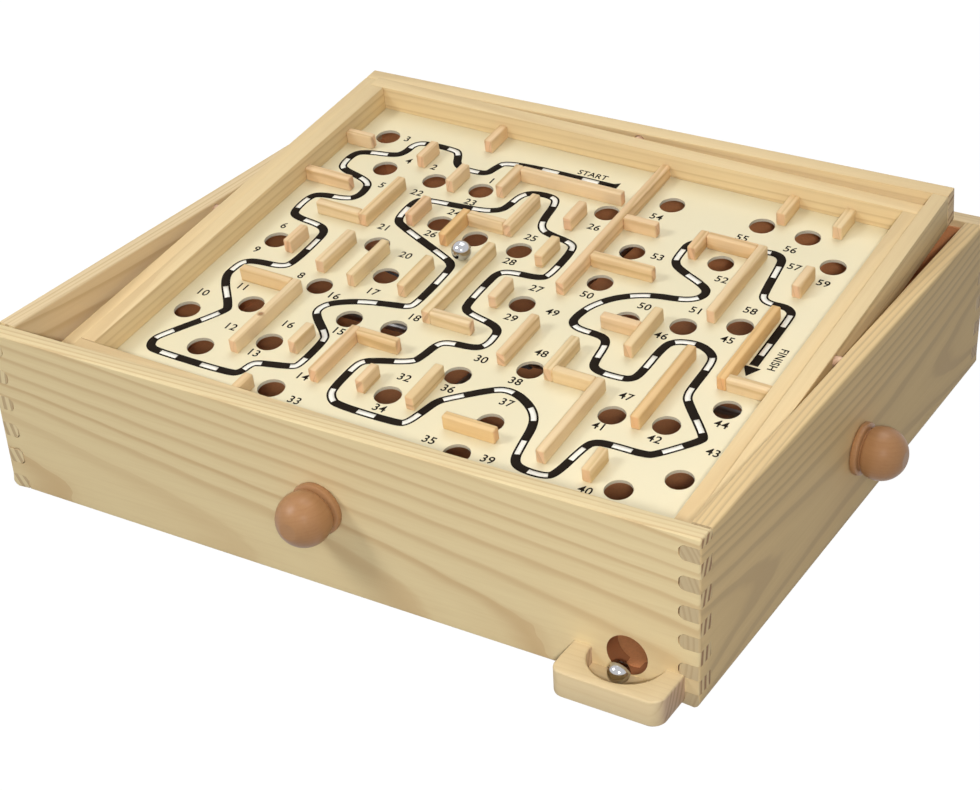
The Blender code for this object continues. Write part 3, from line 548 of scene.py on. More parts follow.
def hardboard(name, colour):
    """Pressed wood fibre, with fine flecks and broad darker blots."""
    pressed = Finish(name)
    flecks = pressed.cloud(pressed.place, (900, 900, 900), 4.0)
    blots = pressed.math("MULTIPLY", pressed.cloud(pressed.place, (30, 30, 30)), 0.4)
    tone = pressed.mix(flecks, shaded(colour, 0.78), shaded(colour, 1.2))
    return pressed.made_of({"Base Color": pressed.mix(blots, tone, shaded(colour, 0.7)), "Roughness": 0.55})


def set_material(node, material):
    """A CAD node keeps its shape and takes this material."""
    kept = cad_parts[node]
    kept.data.materials.clear()
    kept.data.materials.append(material)


set_material("sloping_floor", hardboard("floor_hardboard", HARDBOARD))

# Catch tray. A small pine block glued to the front wall under the outlet, with rounded front corners and a
# round scoop sunk into its top.
TRAY_LOW = (119.8, -25.5, 2.0)
TRAY_HIGH = (169.4, -4.53, 14.5)
TRAY_CORNER = 6.0
SCOOP = (144.5, -4.5)
SCOOP_RADIUS = 16.5
SCOOP_FLOOR = 6.0
TRAY_EDGE = 1.0

tray = block("catch_tray_block", TRAY_LOW, TRAY_HIGH)
bpy.ops.object.mode_set(mode="EDIT")
round_edges(tray, TRAY_CORNER, 10, lambda a, b: abs(a.z - b.z) > 5 and a.y < -20 and b.y < -20)
bpy.ops.object.mode_set(mode="OBJECT")
cut_with(tray, rod("scoop", (*SCOOP, SCOOP_FLOOR), (*SCOOP, TRAY_HIGH[2] + PAST), SCOOP_RADIUS, 96))
bpy.ops.object.mode_set(mode="EDIT")
for level in (TRAY_LOW[2], TRAY_HIGH[2]):
    round_edges(tray, TRAY_EDGE, 3, lambda a, b: abs(a.z - level) < NEAR and abs(b.z - level) < NEAR
                and not min(a.y, b.y) > TRAY_HIGH[1] - 0.1)
bpy.ops.object.mode_set(mode="OBJECT")
smooth_shade(tray)
TRAY_RINGS = (20, 23, 26.4, 29.5, 32.2, 35.4, 38.4, 41, 44.5, 48, 52)
tray_pith = placed((0.145, -0.052, 0.026), 0.02)
dress(tray, wood("tray_pine", tray_pith, TRAY_RINGS, pale=(0.765, 0.615, 0.370), end=(0.620, 0.440, 0.300),
                 wander=0.35, contrast=0.3, end_contrast=0.45), "box", "pine", "catch_tray")

# Pivot dowels. Short birch rods glued into the box and into the outer frame.
def clouded(name, scale, detail, first, second, roughness, spread=0.0, metallic=0.0, gloss=0.5):
    """A finish that wanders between two colours, and as much as the spread in its roughness."""
    made = Finish(name)
    noise = made.cloud(made.place, scale, detail)
    rough = made.math("MULTIPLY_ADD", noise, spread, roughness)
    return made.made_of({"Base Color": made.mix(noise, first, second), "Roughness": rough,
                         "Metallic": metallic, "Specular IOR Level": gloss})


birch = clouded("dowel_birch", (40, 600, 600), 3.0, (0.74, 0.52, 0.36), (0.60, 0.37, 0.24), 0.55)
for node in ("frame_pin_left", "frame_pin_right", "board_pin_front", "board_pin_back"):
    set_material(node, birch)

# Outer frame. Four pine rails planed square with eased edges and joined butt to butt. It lies tilted, as
# stored. Its dowels sit in blind bores, and notches underneath clear the front shaft.
FRAME_TILT = radians(8.4)
FRAME_HALF_X = 163.2
FRAME_HALF_Y = 137.7
RAIL_STOCK = 8.0
FRAME_TOP = 4.5
FRAME_BOTTOM = -12.9
RAIL_EDGE = 0.6
RAIL_JOINT = 0.05
frame_place = placed(Vector((0, BOX_MIDDLE_Y, PIVOT_Z)) * MM, FRAME_TILT, "X")


def ease(piece, width, segments=2):
    """Rounds every sharp edge of the piece."""
    apply_modifier(piece, "BEVEL", width=width * MM, segments=segments, limit_method="ANGLE",
                   angle_limit=radians(40))
    smooth_shade(piece)


def rail_corners(prefix, half_x, half_y):
    """Near left and far right corners of four rails, of which the front and back ones run the full length."""
    inside_x, inside_y = half_x - RAIL_STOCK, half_y - RAIL_STOCK
    end = inside_y - RAIL_JOINT
    return {
        prefix + "front": ((-half_x, -half_y), (half_x, -inside_y)),
        prefix + "back": ((-half_x, inside_y), (half_x, half_y)),
        prefix + "left": ((-half_x, -end), (-inside_x, end)),
        prefix + "right": ((inside_x, -end), (half_x, end)),
    }


RAIL_RINGS = (30, 34.2, 37.8, 42.4, 46, 50.9, 54.3, 59, 63.1, 67.4, 72, 77)
RAIL_PALE = (0.810, 0.632, 0.355)
CORD_HOLE = 0.9
CORD_HOLE_DEPTH = 3.3
PIN_DEPTH = 6.0
NOTCH_HALF = 3.4
NOTCH_DEPTH = 4.0
SIDE_CORD_X = 8.0
FRONT_CORD_Y = 14.0
CORD_SPREAD = 5.25
frame_cord_spots = {"frame_rail_front": (SIDE_CORD_X - CORD_SPREAD / 2, -FRAME_HALF_Y + RAIL_STOCK / 2),
                    "frame_rail_back": (SIDE_CORD_X + CORD_SPREAD / 2, FRAME_HALF_Y - RAIL_STOCK / 2)}


def cord_hole(place, bottom):
    """A blind hole in an underside, where a cord's or a spring's end is glued in."""
    return rod("cord_hole", (*place, bottom - PAST), (*place, bottom + CORD_HOLE_DEPTH), CORD_HOLE, 24)


def outer_bore(side, half, way):
    """A blind bore for a dowel, from the outside of the rail on this side."""
    start, end = sorted((side * (half - PIN_DEPTH), side * (half + PAST)))
    return rod("pin_bore", Vector(way) * start, Vector(way) * end, SHAFT_BORE)


def rail_side(node):
    """1 for a rail at the back or on the right, -1 for the other two."""
    return 1 if node.endswith(("back", "right")) else -1


def finish_rail(piece, node, body, corners, place, pith_place, slant, contrast):
    """Eases a rail's edges, sets it in its place and gives it pine with the grain along it."""
    ease(piece, RAIL_EDGE)
    put(piece, place)
    turn = 0.0 if node.endswith(("front", "back")) else pi / 2
    middle = (Vector(corners[0]) + Vector(corners[1])).to_3d() / 2
    pith = place @ placed((middle + Vector(pith_place)) * MM, turn) @ Matrix.Rotation(slant, 4, "Y")
    pine = wood(node + "_pine", pith, RAIL_RINGS, pale=RAIL_PALE, contrast=contrast)
    dress(piece, pine, body, "frame_pine", node)


blind_end = FRAME_HALF_Y - RAIL_STOCK + PIN_DEPTH
for node, (low, high) in rail_corners("frame_rail_", FRAME_HALF_X, FRAME_HALF_Y).items():
    rail = block(node + "_planed", (*low, FRAME_BOTTOM), (*high, FRAME_TOP))
    side = rail_side(node)
    if node in frame_cord_spots:
        cut_with(rail, block("shaft_notch", (-NOTCH_HALF, low[1] - PAST, FRAME_BOTTOM - PAST),
                             (NOTCH_HALF, high[1] + PAST, FRAME_BOTTOM + NOTCH_DEPTH)))
        cut_with(rail, rod("pin_bore", (0, -blind_end, 0), (0, blind_end, 0), SHAFT_BORE))
        cut_with(rail, cord_hole(frame_cord_spots[node], FRAME_BOTTOM))
    else:
        cut_with(rail, outer_bore(side, FRAME_HALF_X, (1, 0, 0)))
    finish_rail(rail, node, "outer_frame", (low, high), frame_place,
                (6, 8, -48 - 3 * side), 0.012 * side, 0.7)

# Board rims. Four lower pine rails, rabbeted underneath for the panel, with short strips glued to their
# inside. They swing in the outer frame on dowels in blind bores.
BOARD_TILT = radians(1.7)
RIM_HALF_X = 152.9
RIM_HALF_Y = 126.9
RIM_TOP = 3.5
RIM_BOTTOM = -11.9
PANEL_TOP = -9.43
PANEL_THICKNESS = 1.6
PANEL_LAP = 3.0
RABBET_PLAY = 0.1
GLUE_LINE = 0.05
MAZE_HEIGHT = 7.2
STRIP_EDGE = 0.8
STRIP_JOINT = 0.02
board_place = frame_place @ Matrix.Rotation(BOARD_TILT, 4, "Y")
board_cord_spots = {"board_rim_right": (RIM_HALF_X - RAIL_STOCK / 2, FRONT_CORD_Y - CORD_SPREAD / 2),
                    "board_rim_left": (-RIM_HALF_X + RAIL_STOCK / 2, FRONT_CORD_Y + CORD_SPREAD / 2)}
lap_x = RIM_HALF_X - RAIL_STOCK + PANEL_LAP
lap_y = RIM_HALF_Y - RAIL_STOCK + PANEL_LAP
for node, (low, high) in rail_corners("board_rim_", RIM_HALF_X, RIM_HALF_Y).items():
    rim = block(node + "_planed", (*low, RIM_BOTTOM), (*high, RIM_TOP))
    cut_with(rim, block("rabbet", (-lap_x, -lap_y, RIM_BOTTOM - PAST),
                        (lap_x, lap_y, PANEL_TOP + RABBET_PLAY)))
    side = rail_side(node)
    if node in board_cord_spots:
        cut_with(rim, cord_hole(board_cord_spots[node], RIM_BOTTOM))
    else:
        cut_with(rim, outer_bore(side, RIM_HALF_Y, (0, 1, 0)))
    finish_rail(rim, node, "board", (low, high), board_place,
                (-9, 12, -52 + 4 * side), -0.015 * side, 0.8)

strip_pith_x = board_place @ placed((0, 0.004, -0.03), 0.01, "Y")
strip_pith_y = board_place @ placed((0.004, 0, -0.03), pi / 2) @ Matrix.Rotation(0.01, 4, "Y")


def strip_rings():
    """Year lines that carry on, strip after strip, from one side of the board to the other."""
    rings, line = [], 8.0
    spacing = Random(7)
    while line < 190:
        rings.append(line)
        line += spacing.uniform(3.2, 4.8)
    return rings


KNOT = board_place @ Vector((-0.093, -0.065, (PANEL_TOP + MAZE_HEIGHT) * MM))
STRIP_PALE = (0.825, 0.650, 0.410)
STRIP_END = (0.780, 0.530, 0.340)
strip_wood_x, strip_wood_y = (
    wood("strip_pine_along_" + way, pith, strip_rings(), pale=STRIP_PALE, end=STRIP_END, wander=1.5,
         contrast=1.1, end_contrast=0.4, tinted=True, knot=knot)
    for way, pith, knot in (("x", strip_pith_x, None), ("y", strip_pith_y, KNOT)))
strip_tints = Random(21)
TINTS = [(1.0, 0.98, 0.94), (1.0, 0.95, 0.90), (0.98, 0.97, 0.90), (1.0, 0.92, 0.86), (1.0, 0.97, 0.88),
         (0.98, 0.91, 0.80)]


def strip(name, left, right, front, back, tint=None):
    """One planed strip on the panel, with its grain along its length."""
    piece = block(name, (left, front, PANEL_TOP + GLUE_LINE), (right, back, PANEL_TOP + MAZE_HEIGHT))
    ease(piece, STRIP_EDGE, 3)
    put(piece, board_place)
    shade = piece.data.attributes.new("tint", "FLOAT_COLOR", "POINT")
    colour = tint or strip_tints.choice(TINTS)
    for value in shade.data:
        value.color = (*colour, 1)
    piece.data.materials.append(strip_wood_x if right - left > back - front else strip_wood_y)
    return piece


RIM_STUBS = {
    "rim_stub_left_back": (-144.85, -129.5, 82, 86.5),
    "rim_stub_left_middle": (-144.85, -118.5, 45, 49.5),
    "rim_stub_front": (-74.5, -70, -118.85, -103),
    "rim_stub_back_left": (-75, -70.5, 103, 118.85),
    "rim_stub_back_middle": (87.5, 92.5, 102, 118.85),
    "rim_stub_back_right": (116.5, 121.5, 102, 118.85),
}
for name, sides in RIM_STUBS.items():
    stub = strip(name, *sides)
    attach(stub, "board")

# Panel. Thin board faced with cream printed paper, drilled through in 40 places. Its core shows in the holes.
HOLE_RADIUS = 6.25
PANEL_PLAY = 0.3
PAPER = (0.815, 0.740, 0.515)
PAPER_SHADE = (0.785, 0.705, 0.465)
CORE = (0.750, 0.680, 0.520)
BALL_HOLES = [
    (-129, 96), (-114, 70), (-84.5, 70), (-58.5, 71.5), (8.5, 79),
    (-62, 39), (-39.5, 34.5), (-15, 34.5), (-80.5, 11.5), (-128, -4.5),
    (-87, -28), (-62.5, -8.5), (-108.5, -53), (-134, -68.5), (-83.5, -73.5),
    (-111, -89), (-63, -101), (-59.5, -44), (-36.5, -42), (-12.5, -84),
    (34.5, 97.5), (82, 98.5), (106, 98), (126.5, 81), (77.5, 63),
    (35, 55), (33, 27), (83.5, 12.5), (107, 22.5), (57.5, 6.5),
    (8, -2), (8.5, -59.5), (36, -43), (38.5, -82), (36, -105.5),
    (84, -56), (108.5, -52.5), (127.5, -32.5), (129.5, -81.5), (109.5, -97.5),
]
panel_x, panel_y = lap_x - PANEL_PLAY, lap_y - PANEL_PLAY
panel = block("maze_panel_drilled", (-panel_x, -panel_y, PANEL_TOP - PANEL_THICKNESS),
              (panel_x, panel_y, PANEL_TOP))
drills = [rod("drill", (x, y, PANEL_TOP - PANEL_THICKNESS - PAST), (x, y, PANEL_TOP + PAST), HOLE_RADIUS, 64)
          for x, y in BALL_HOLES]
cut_with(panel, join("drills", drills))
smooth_shade(panel)
put(panel, board_place)
paper = Finish("printed_paper")
fine = paper.cloud(paper.place, (1500, 1500, 1500))
sheet = paper.mix(paper.cloud(paper.place, (12, 12, 12)), PAPER, PAPER_SHADE)
sheet = paper.mix(paper.math("MULTIPLY", fine, 0.06), sheet, (0.5, 0.42, 0.28))
upward = paper.against("DOT_PRODUCT", paper.normal, board_place.to_3x3() @ Vector((0, 0, 1)))
fibres = paper.mix(fine, CORE, shaded(CORE, 0.7))
faced = paper.mix(paper.math("GREATER_THAN", upward, 0.9), fibres, sheet)
dress(panel, paper.made_of({"Base Color": faced, "Roughness": 0.42}), "board", "printed_board", "maze_panel")

# Printed path. Black ink with white bars let into it, from START behind its strip to the arrow at FINISH.
# It runs on under the strips, which are glued over it.
PATH_WIDTH = 4.3
BAR_WIDTH = 2.4
BAR_LENGTH = 9.2
BAR_STEP = 22.65
FIRST_BAR = 8.5
INK_HEIGHT = 0.02
INK_GAP = 0.005
PATH = [
    (3, 96.5), (-57, 96.5), (-60, 88), (-61, 83), (-66, 81.5), (-79, 82), (-84, 93), (-88, 95), (-106, 95),
    (-110, 91), (-110, 84), (-113, 79), (-128, 76.5), (-134, 73), (-134, 62), (-131, 58), (-118, 55),
    (-112, 52), (-110, 47), (-110, 40), (-114, 36), (-128, 34.5), (-132.5, 31), (-132.5, 17), (-129, 13),
    (-114, 11.5), (-109, 9), (-107, 4), (-107, -20), (-110, -25), (-125, -26), (-130, -29), (-131, -34),
    (-131, -43), (-115, -61), (-114, -65), (-130, -91), (-132, -96), (-130, -101), (-125, -102.5),
    (-84, -102.5), (-80, -100), (-79, -93), (-76, -91), (-61, -87.5), (-58.5, -85), (-58.5, -65), (-61, -61),
    (-73, -51), (-75, -46), (-72, -40), (-60, -33.5), (-45, -30), (-37, -28.5), (-34.8, -25), (-34.8, 5),
    (-37, 9), (-42, 12), (-77, 27), (-80, 30), (-81.5, 35), (-81.5, 47), (-78, 50.5), (-60, 52), (-45, 53.5),
    (-38, 57), (-36.5, 62), (-35.5, 72), (-31, 76.5), (-20, 77), (-16, 73), (-14.5, 56), (-11, 50), (-5, 48),
    (7, 46), (11, 42), (11, 19), (8, 15), (-8, 14), (-12, 11), (-13, 6), (-13, -16), (-11, -20), (-6, -22),
    (6, -24.5), (10.5, -27.5), (11.5, -32), (11.5, -39), (8, -43), (-5, -44), (-9.5, -47), (-11, -58),
    (-13, -63), (-30, -69), (-34, -72), (-35, -77), (-35, -94), (-32, -99), (-27, -102), (4, -102), (8, -100),
    (10.5, -90), (12, -83), (15, -79), (31, -65), (37, -63), (45, -65), (54, -71), (59, -79), (61, -93),
    (63, -103), (68, -106.5), (80, -106.5), (83.5, -103), (86, -82), (89, -78.5), (95, -77.5), (112, -77.5),
    (116, -75), (129, -60), (129, -57), (112, -39), (110, -35), (109.5, -30), (109.5, -10), (107, -5),
    (101, -1.5), (95, -1), (88, -3), (84.5, -8), (84.5, -31), (82, -35), (77, -36), (68, -36), (63, -34),
    (61.5, -29), (60.5, -18), (58, -13.5), (53, -12.3), (43, -12), (38.5, -9), (38, -4), (40, 5), (46, 14),
    (54, 20), (63, 24), (76, 26), (82, 29), (84.5, 34), (82, 39), (64, 47), (60, 51), (59, 56), (59, 72),
    (94, 75), (101, 75.5), (105, 72.5), (106, 67), (108.5, 45), (110, 41), (114, 39), (122, 39.5), (126, 37),
    (127, 33), (127, -5),
]


def on_print(x, y):
    """A place on the print, which was laid on the board a little off its middle and a little turned."""
    return Vector((x - 2.5, y + 3.7 + 0.007 * x + 0.0045 * y))


def rounded_line(points, rounds=3):
    """Cuts the corners of a line again and again until it runs smoothly."""
    line = [Vector(point) for point in points]
    for _ in range(rounds):
        cut = [line[0]]
        for first, second in zip(line, line[1:]):
            cut += [first.lerp(second, 0.25), first.lerp(second, 0.75)]
        line = cut + [line[-1]]
    return line


def stretch_of(line, start, end):
    """The part of a line between two distances along it."""
    part, gone = [], 0.0
    for first, second in zip(line, line[1:]):
        step = (second - first).length
        if gone + step > start and gone < end:
            if not part:
                part.append(first.lerp(second, max(0.0, start - gone) / step))
            part.append(first.lerp(second, min(1.0, (end - gone) / step)))
        gone += step
    return part


def drawn_curve(name, lines, tilt=0.0, **settings):
    """A curve with these settings, through lines of points in millimetres, made a mesh."""
    course = bpy.data.curves.new(name, "CURVE")
    course.dimensions = "3D"
    for setting, value in settings.items():
        setattr(course, setting, value)
    for spots in lines:
        line = course.splines.new("POLY")
        line.points.add(len(spots) - 1)
        for point, spot in zip(line.points, spots):
            point.co = (*spot * MM, 1)
            point.tilt = tilt
    piece = bpy.data.objects.new(name, course)
    bpy.context.scene.collection.objects.link(piece)
    pick_out(piece)
    bpy.ops.object.convert(target="MESH")
    return piece


def turn_outwards(piece, merge=0.0):
    """Merges the points that lie within a distance of each other, and turns all faces outwards."""
    pick_out(piece)
    bpy.ops.object.mode_set(mode="EDIT")
    if merge:
        bpy.ops.mesh.select_all(action="SELECT")
        bpy.ops.mesh.remove_doubles(threshold=merge)
    bpy.ops.mesh.select_all(action="SELECT")
    bpy.ops.mesh.normals_make_consistent(inside=False)
    bpy.ops.object.mode_set(mode="OBJECT")


def ink(name, colour):
    """Printing ink on paper, a little uneven."""
    lighter = tuple(min(1.0, 1.25 * part + 0.002) for part in colour)
    return clouded(name, (700, 700, 700), 3.0, colour, lighter, 0.8, gloss=0.05)


def ribbon(name, lines, width, low, high, colour):
    """Flat bands of ink that follow lines on the panel: curves drawn out sideways and given thickness."""
    lines = [[Vector((*point, (low + high) / 2)) for point in line] for line in lines]
    piece = drawn_curve(name, lines, pi / 2, twist_mode="Z_UP", extrude=width * MM / 2)
    apply_modifier(piece, "SOLIDIFY", thickness=(high - low) * MM, offset=0)
    turn_outwards(piece)
    put(piece, board_place)
    dress(piece, ink(name + "_ink", colour), "board", "printed_board")


BLACK_INK = (0.014, 0.010, 0.007)
WHITE_INK = (0.86, 0.83, 0.74)
path_line = rounded_line([on_print(x, y) for x, y in PATH])
path_length = sum((second - first).length for first, second in zip(path_line, path_line[1:]))
ink_low = PANEL_TOP + INK_GAP
ribbon("printed_path", [path_line], PATH_WIDTH, ink_low, ink_low + INK_HEIGHT, BLACK_INK)
bars = []
start = FIRST_BAR
while start + BAR_LENGTH < path_length:
    bars.append(stretch_of(path_line, start, start + BAR_LENGTH))
    start += BAR_STEP
ribbon("printed_path_bars", bars, BAR_WIDTH, ink_low + INK_HEIGHT, ink_low + 2 * INK_HEIGHT, WHITE_INK)


def arrow_head(name, tip, back, half_width):
    """A filled arrow head: a three-sided disc, drawn out to its length and width."""
    tip, back = Vector(tip), Vector(back)
    bpy.ops.mesh.primitive_cylinder_add(vertices=3, radius=MM, depth=INK_HEIGHT * MM,
                                        scale=(half_width / cos(pi / 6), (back - tip).length / 1.5, 1))
    piece = added(name)
    middle = tip.lerp(back, 2 / 3)
    turn = Vector((0, 1)).angle_signed((tip - back).normalized())
    put(piece, board_place @ placed((*middle * MM, (ink_low + INK_HEIGHT / 2) * MM), -turn))
    dress(piece, ink(name + "_ink", BLACK_INK), "board", "printed_board")


arrow_head("start_arrow", (-4.5, 100.4), (2.5, 100.4), 4.2)
arrow_head("finish_arrow", (124.5, -8.5), (124.5, -1.5), 4.2)

# Printed numbers and words. Plain black type: a number by each hole along the way, and START and FINISH at
# its ends.
TYPE_SIZE = 6.4
WORD_SIZE = 5.4
TYPE_SPACING = 1.05
TYPE_SWELL = 0.1
NUMBERS = [
    ("3", -116, 94.5), ("4", -104, 77), ("2", -89, 77), ("1", -55.5, 77.5), ("5", -104.5, 53),
    ("22", -84.5, 54), ("23", -55.5, 57), ("24", -58, 46), ("26", -59, 26), ("21", -83, 22), ("20", -60.5, 6),
    ("6", -129.5, 4), ("9", -130, -18), ("8", -97.5, -27.5), ("16", -74, -35), ("17", -59, -25),
    ("18", -30, -34.5), ("11", -118, -46), ("10", -133, -57), ("16", -81, -62), ("15", -56.5, -57),
    ("12", -104.5, -74), ("13", -83, -86), ("14", -52.5, -91.5), ("33", -46, -107), ("25", -12.5, 42),
    ("28", -12, 21), ("32", -10, -74), ("34", -8.5, -96.5), ("27", 10.5, 7), ("26", 11, 61.5),
    ("29", 11, -17), ("30", 14.5, -49), ("36", 12, -73), ("54", 34.5, 81), ("55", 80, 81), ("56", 105, 81),
    ("57", 112.5, 69), ("59", 130, 62.5), ("53", 50.5, 51.5), ("52", 86, 47), ("58", 108.5, 30.5),
    ("51", 86, 21), ("50", 34.5, 12), ("50", 63, 14.5), ("45", 108.5, 7), ("46", 80, -2), ("49", 26.5, -6),
    ("48", 37, -34.5), ("47", 86, -46.5), ("44", 132, -47), ("38", 36.5, -56.5), ("41", 85, -69),
    ("42", 110.5, -67), ("43", 137, -65), ("37", 40.5, -71), ("35", 23, -106), ("39", 52.5, -107),
    ("40", 99.5, -107.5),
]


def print_text(name, text, x, y, size=TYPE_SIZE, turn=0.0):
    """Type set at a point of the panel, as a thin raised mesh."""
    bpy.ops.object.text_add()
    piece = bpy.context.object
    piece.data.body = text
    piece.data.size = size * MM
    piece.data.align_x = "CENTER"
    piece.data.align_y = "CENTER"
    piece.data.space_character = TYPE_SPACING
    piece.data.offset = TYPE_SWELL * MM
    piece.data.resolution_u = 4
    piece.data.extrude = INK_HEIGHT * MM / 2
    bpy.ops.object.convert(target="MESH")
    piece.matrix_world = board_place @ placed((x * MM, y * MM, (ink_low + INK_HEIGHT / 2) * MM), turn)
    return added(name)


type_ink = ink("type_ink", BLACK_INK)
numbers = [print_text("number", text, *on_print(x, y)) for text, x, y in NUMBERS]
start_word = print_text("printed_start", "START", -14, 105.5, WORD_SIZE)
finish_word = print_text("printed_finish", "FINISH", 132.5, 7.5, WORD_SIZE, -pi / 2)
for piece in (join("printed_numbers", numbers), start_word, finish_word):
    dress(piece, type_ink, "board", "printed_board")

# Maze walls. Low planed pine strips glued down on the paper. Where strips meet, the one that runs from front
# to back goes through and the other butts against its side.
MAZE_WALLS = {
    "maze_wall_02": [(-99.5, -95, 77.5, 92.5)],
    "maze_wall_03": [(-74, -69.5, 64, 80.5)],
    "maze_wall_05": [(-76.5, -72, 31, 48.5)],
    "maze_wall_07": [(-4, 0.5, 58, 74.5)],
    "maze_wall_08": [(-1.5, 3, 26, 43.5)],
    "maze_wall_11": [(118.5, 123.2, 52, 69)],
    "maze_wall_14": [(95.3, 99.8, -60.5, -6)],
    "maze_wall_16": [(93, 97.5, -99, -83)],
    "maze_wall_17": [(22, 48, -94, -89.5)],
    "maze_wall_18": [(0, 4.5, -89, -63)],
    "maze_wall_19": [(-26.5, -22, -88, -74.5)],
    "maze_wall_21": [(-70.5, -66, -76.5, -61)],
    "maze_wall_23": [(-95, -90, -19, 9)],
    "maze_wall_24": [(-75, -70.5, -22.5, 8.5)],
    "maze_wall_25": [(-48.5, -44, -20, 6)],
    "maze_wall_26": [(-118.5, -114, -11.5, 3.5)],
    "maze_wall_28": [(-5, -0.5, -10.5, 6)],
    "maze_wall_29": [(20.5, 25, -46, -14)],
    "maze_wall_start": [(-48.5, -44, 69.5, 90.5), (-44, 12.7, 86, 90.5)],
    "maze_wall_04": [(-97.5, -93, 22, 58), (-122.5, -97.5, 22, 26.5)],
    "maze_wall_06": [(-52.5, -48, 23, 46.5), (-28, -23.5, 42, 71), (-48, -28, 42, 46.5)],
    "maze_wall_back_divider": [(18.4, 22.9, 11, 118.6), (22.9, 55.5, 36, 40.5), (22.9, 40.5, 69, 73.5)],
    "maze_wall_10": [(61.5, 66, 60, 75.5), (91.5, 96, 19.5, 75.5), (66, 91.5, 71, 75.5)],
    "maze_wall_finish": [(117, 121.5, -22, 35), (121.5, 144.6, -22, -17.5)],
    "maze_wall_13": [(69.3, 73.8, -18, 13), (50, 69.3, -4, 0.5)],
    "maze_wall_15": [(69.7, 74.2, -96.5, -42.5), (45, 49.5, -47, -21), (49.5, 69.7, -47, -42.5)],
    "maze_wall_20": [(-50, -45.5, -90, -54), (-45.5, -24, -58.5, -54)],
    "maze_wall_22": [(-95.7, -91.2, -87, -35), (-124, -95.7, -39.5, -35)],
    "maze_wall_27": [(-27, -22.5, -33, 27), (-22.5, -1, -33, -28.5)],
}
ORANGE_TINT = (0.97, 0.81, 0.58)
PINK_TINT = (0.98, 0.86, 0.80)
PALE_TINT = (1.0, 0.97, 0.92)
STRIP_TINTS = {
    "maze_wall_finish": [ORANGE_TINT, PALE_TINT], "maze_wall_06": [ORANGE_TINT, PALE_TINT, PALE_TINT],
    "maze_wall_14": [(0.98, 0.86, 0.68)], "maze_wall_05": [PINK_TINT],
    "maze_wall_10": [(1.0, 0.90, 0.80), PALE_TINT, (1.0, 0.90, 0.80)], "maze_wall_17": [(1.0, 0.90, 0.72)],
}
for node, strips in MAZE_WALLS.items():
    glued = []
    for index, (left, right, front, back) in enumerate(strips):
        if right - left > back - front:
            left, right = left + STRIP_JOINT, right - STRIP_JOINT
        tint = STRIP_TINTS[node][index] if node in STRIP_TINTS else None
        glued.append(strip(node + "_strip", left, right, front, back, tint))
    wall = join(node + "_strips", glued) if len(glued) > 1 else glued[0]
    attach(wall, "board")
    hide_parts(node)

# Shafts and clips. Drawn steel rods turned bright, with push-on spring steel rings inside the box.
steel = clouded("drawn_steel", (60, 60, 2500), 3.0, (0.42, 0.42, 0.43), (0.60, 0.60, 0.61), 0.22,
                spread=0.2, metallic=1.0)
for node in ("front_shaft", "side_shaft", "front_shaft_clip", "side_shaft_clip"):
    set_material(node, steel)

# Drive cords and springs. A thin twisted cord is wound three turns round each shaft. Its two ends run to the
# undersides of opposite rails, one straight into a glue hole and one by a wound spring that keeps it taut.
CORD_RADIUS = 0.6
CORD_TURNS = 3
WINDING_RADIUS = 3.4
CORD_DROP = 3.0
TWIST_PITCH = 1.6
SPRING_REACH = 44.0
SPRING_LEAD = 1.6
SPRING_LENGTH = 20.0
SPRING_RADIUS = 2.0
SPRING_WIRE = 0.36
SPRING_COILS = 12
CORD_STEP = 0.8


def twisted_cord(length):
    """Two dark strands laid round each other, told by the shade between them, for a cord of this length."""
    cord = Finish("twisted_cord")
    round_share, length_share, _ = cord.parts(cord.uv)
    turns = cord.math("MULTIPLY_ADD", length_share, length / TWIST_PITCH,
                      cord.math("MULTIPLY", round_share, 2.0))
    strand = cord.math("SINE", cord.math("MULTIPLY", turns, 2 * pi))
    height = cord.math("MULTIPLY_ADD", strand, 0.5, 0.5)
    fuzz = cord.math("MULTIPLY", cord.cloud(cord.place, (3000, 3000, 3000)), 0.5)
    shade = cord.mix(height, (0.040, 0.038, 0.036), (0.160, 0.155, 0.150))
    return cord.made_of({"Base Color": cord.mix(fuzz, shade, (0.09, 0.088, 0.085)), "Roughness": 0.85,
                         "Normal": cord.bump(height, 0.6)})


def even_line(points, step):
    """Points at even steps along a line, its two ends among them."""
    reach = [0.0]
    for first, second in zip(points, points[1:]):
        reach.append(reach[-1] + (second - first).length)
    count = max(2, round(reach[-1] / step))
    line, index = [], 0
    for number in range(count + 1):
        place = reach[-1] * number / count
        while index < len(points) - 2 and reach[index + 1] < place:
            index += 1
        share = (place - reach[index]) / (reach[index + 1] - reach[index])
        line.append(points[index].lerp(points[index + 1], share))
    return line


def round_line(name, points, radius):
    """A round wire or cord that follows the points, in millimetres, with closed ends."""
    piece = drawn_curve(name, [points], bevel_depth=radius * MM, bevel_resolution=2, use_fill_caps=True)
    turn_outwards(piece, 0.000001)
    smooth_shade(piece, 50)
    return piece


def in_millimetres(place):
    """The same place for points that are given in millimetres."""
    return Matrix.Translation(place.to_translation() / MM) @ place.to_3x3().to_4x4()


def cord_piece(name, node, points):
    line = even_line(points, CORD_STEP)
    piece = round_line(name, line, CORD_RADIUS)
    length = sum((second - first).length for first, second in zip(line, line[1:]))
    piece.data.materials.append(twisted_cord(length))
    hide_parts(node)
    return piece


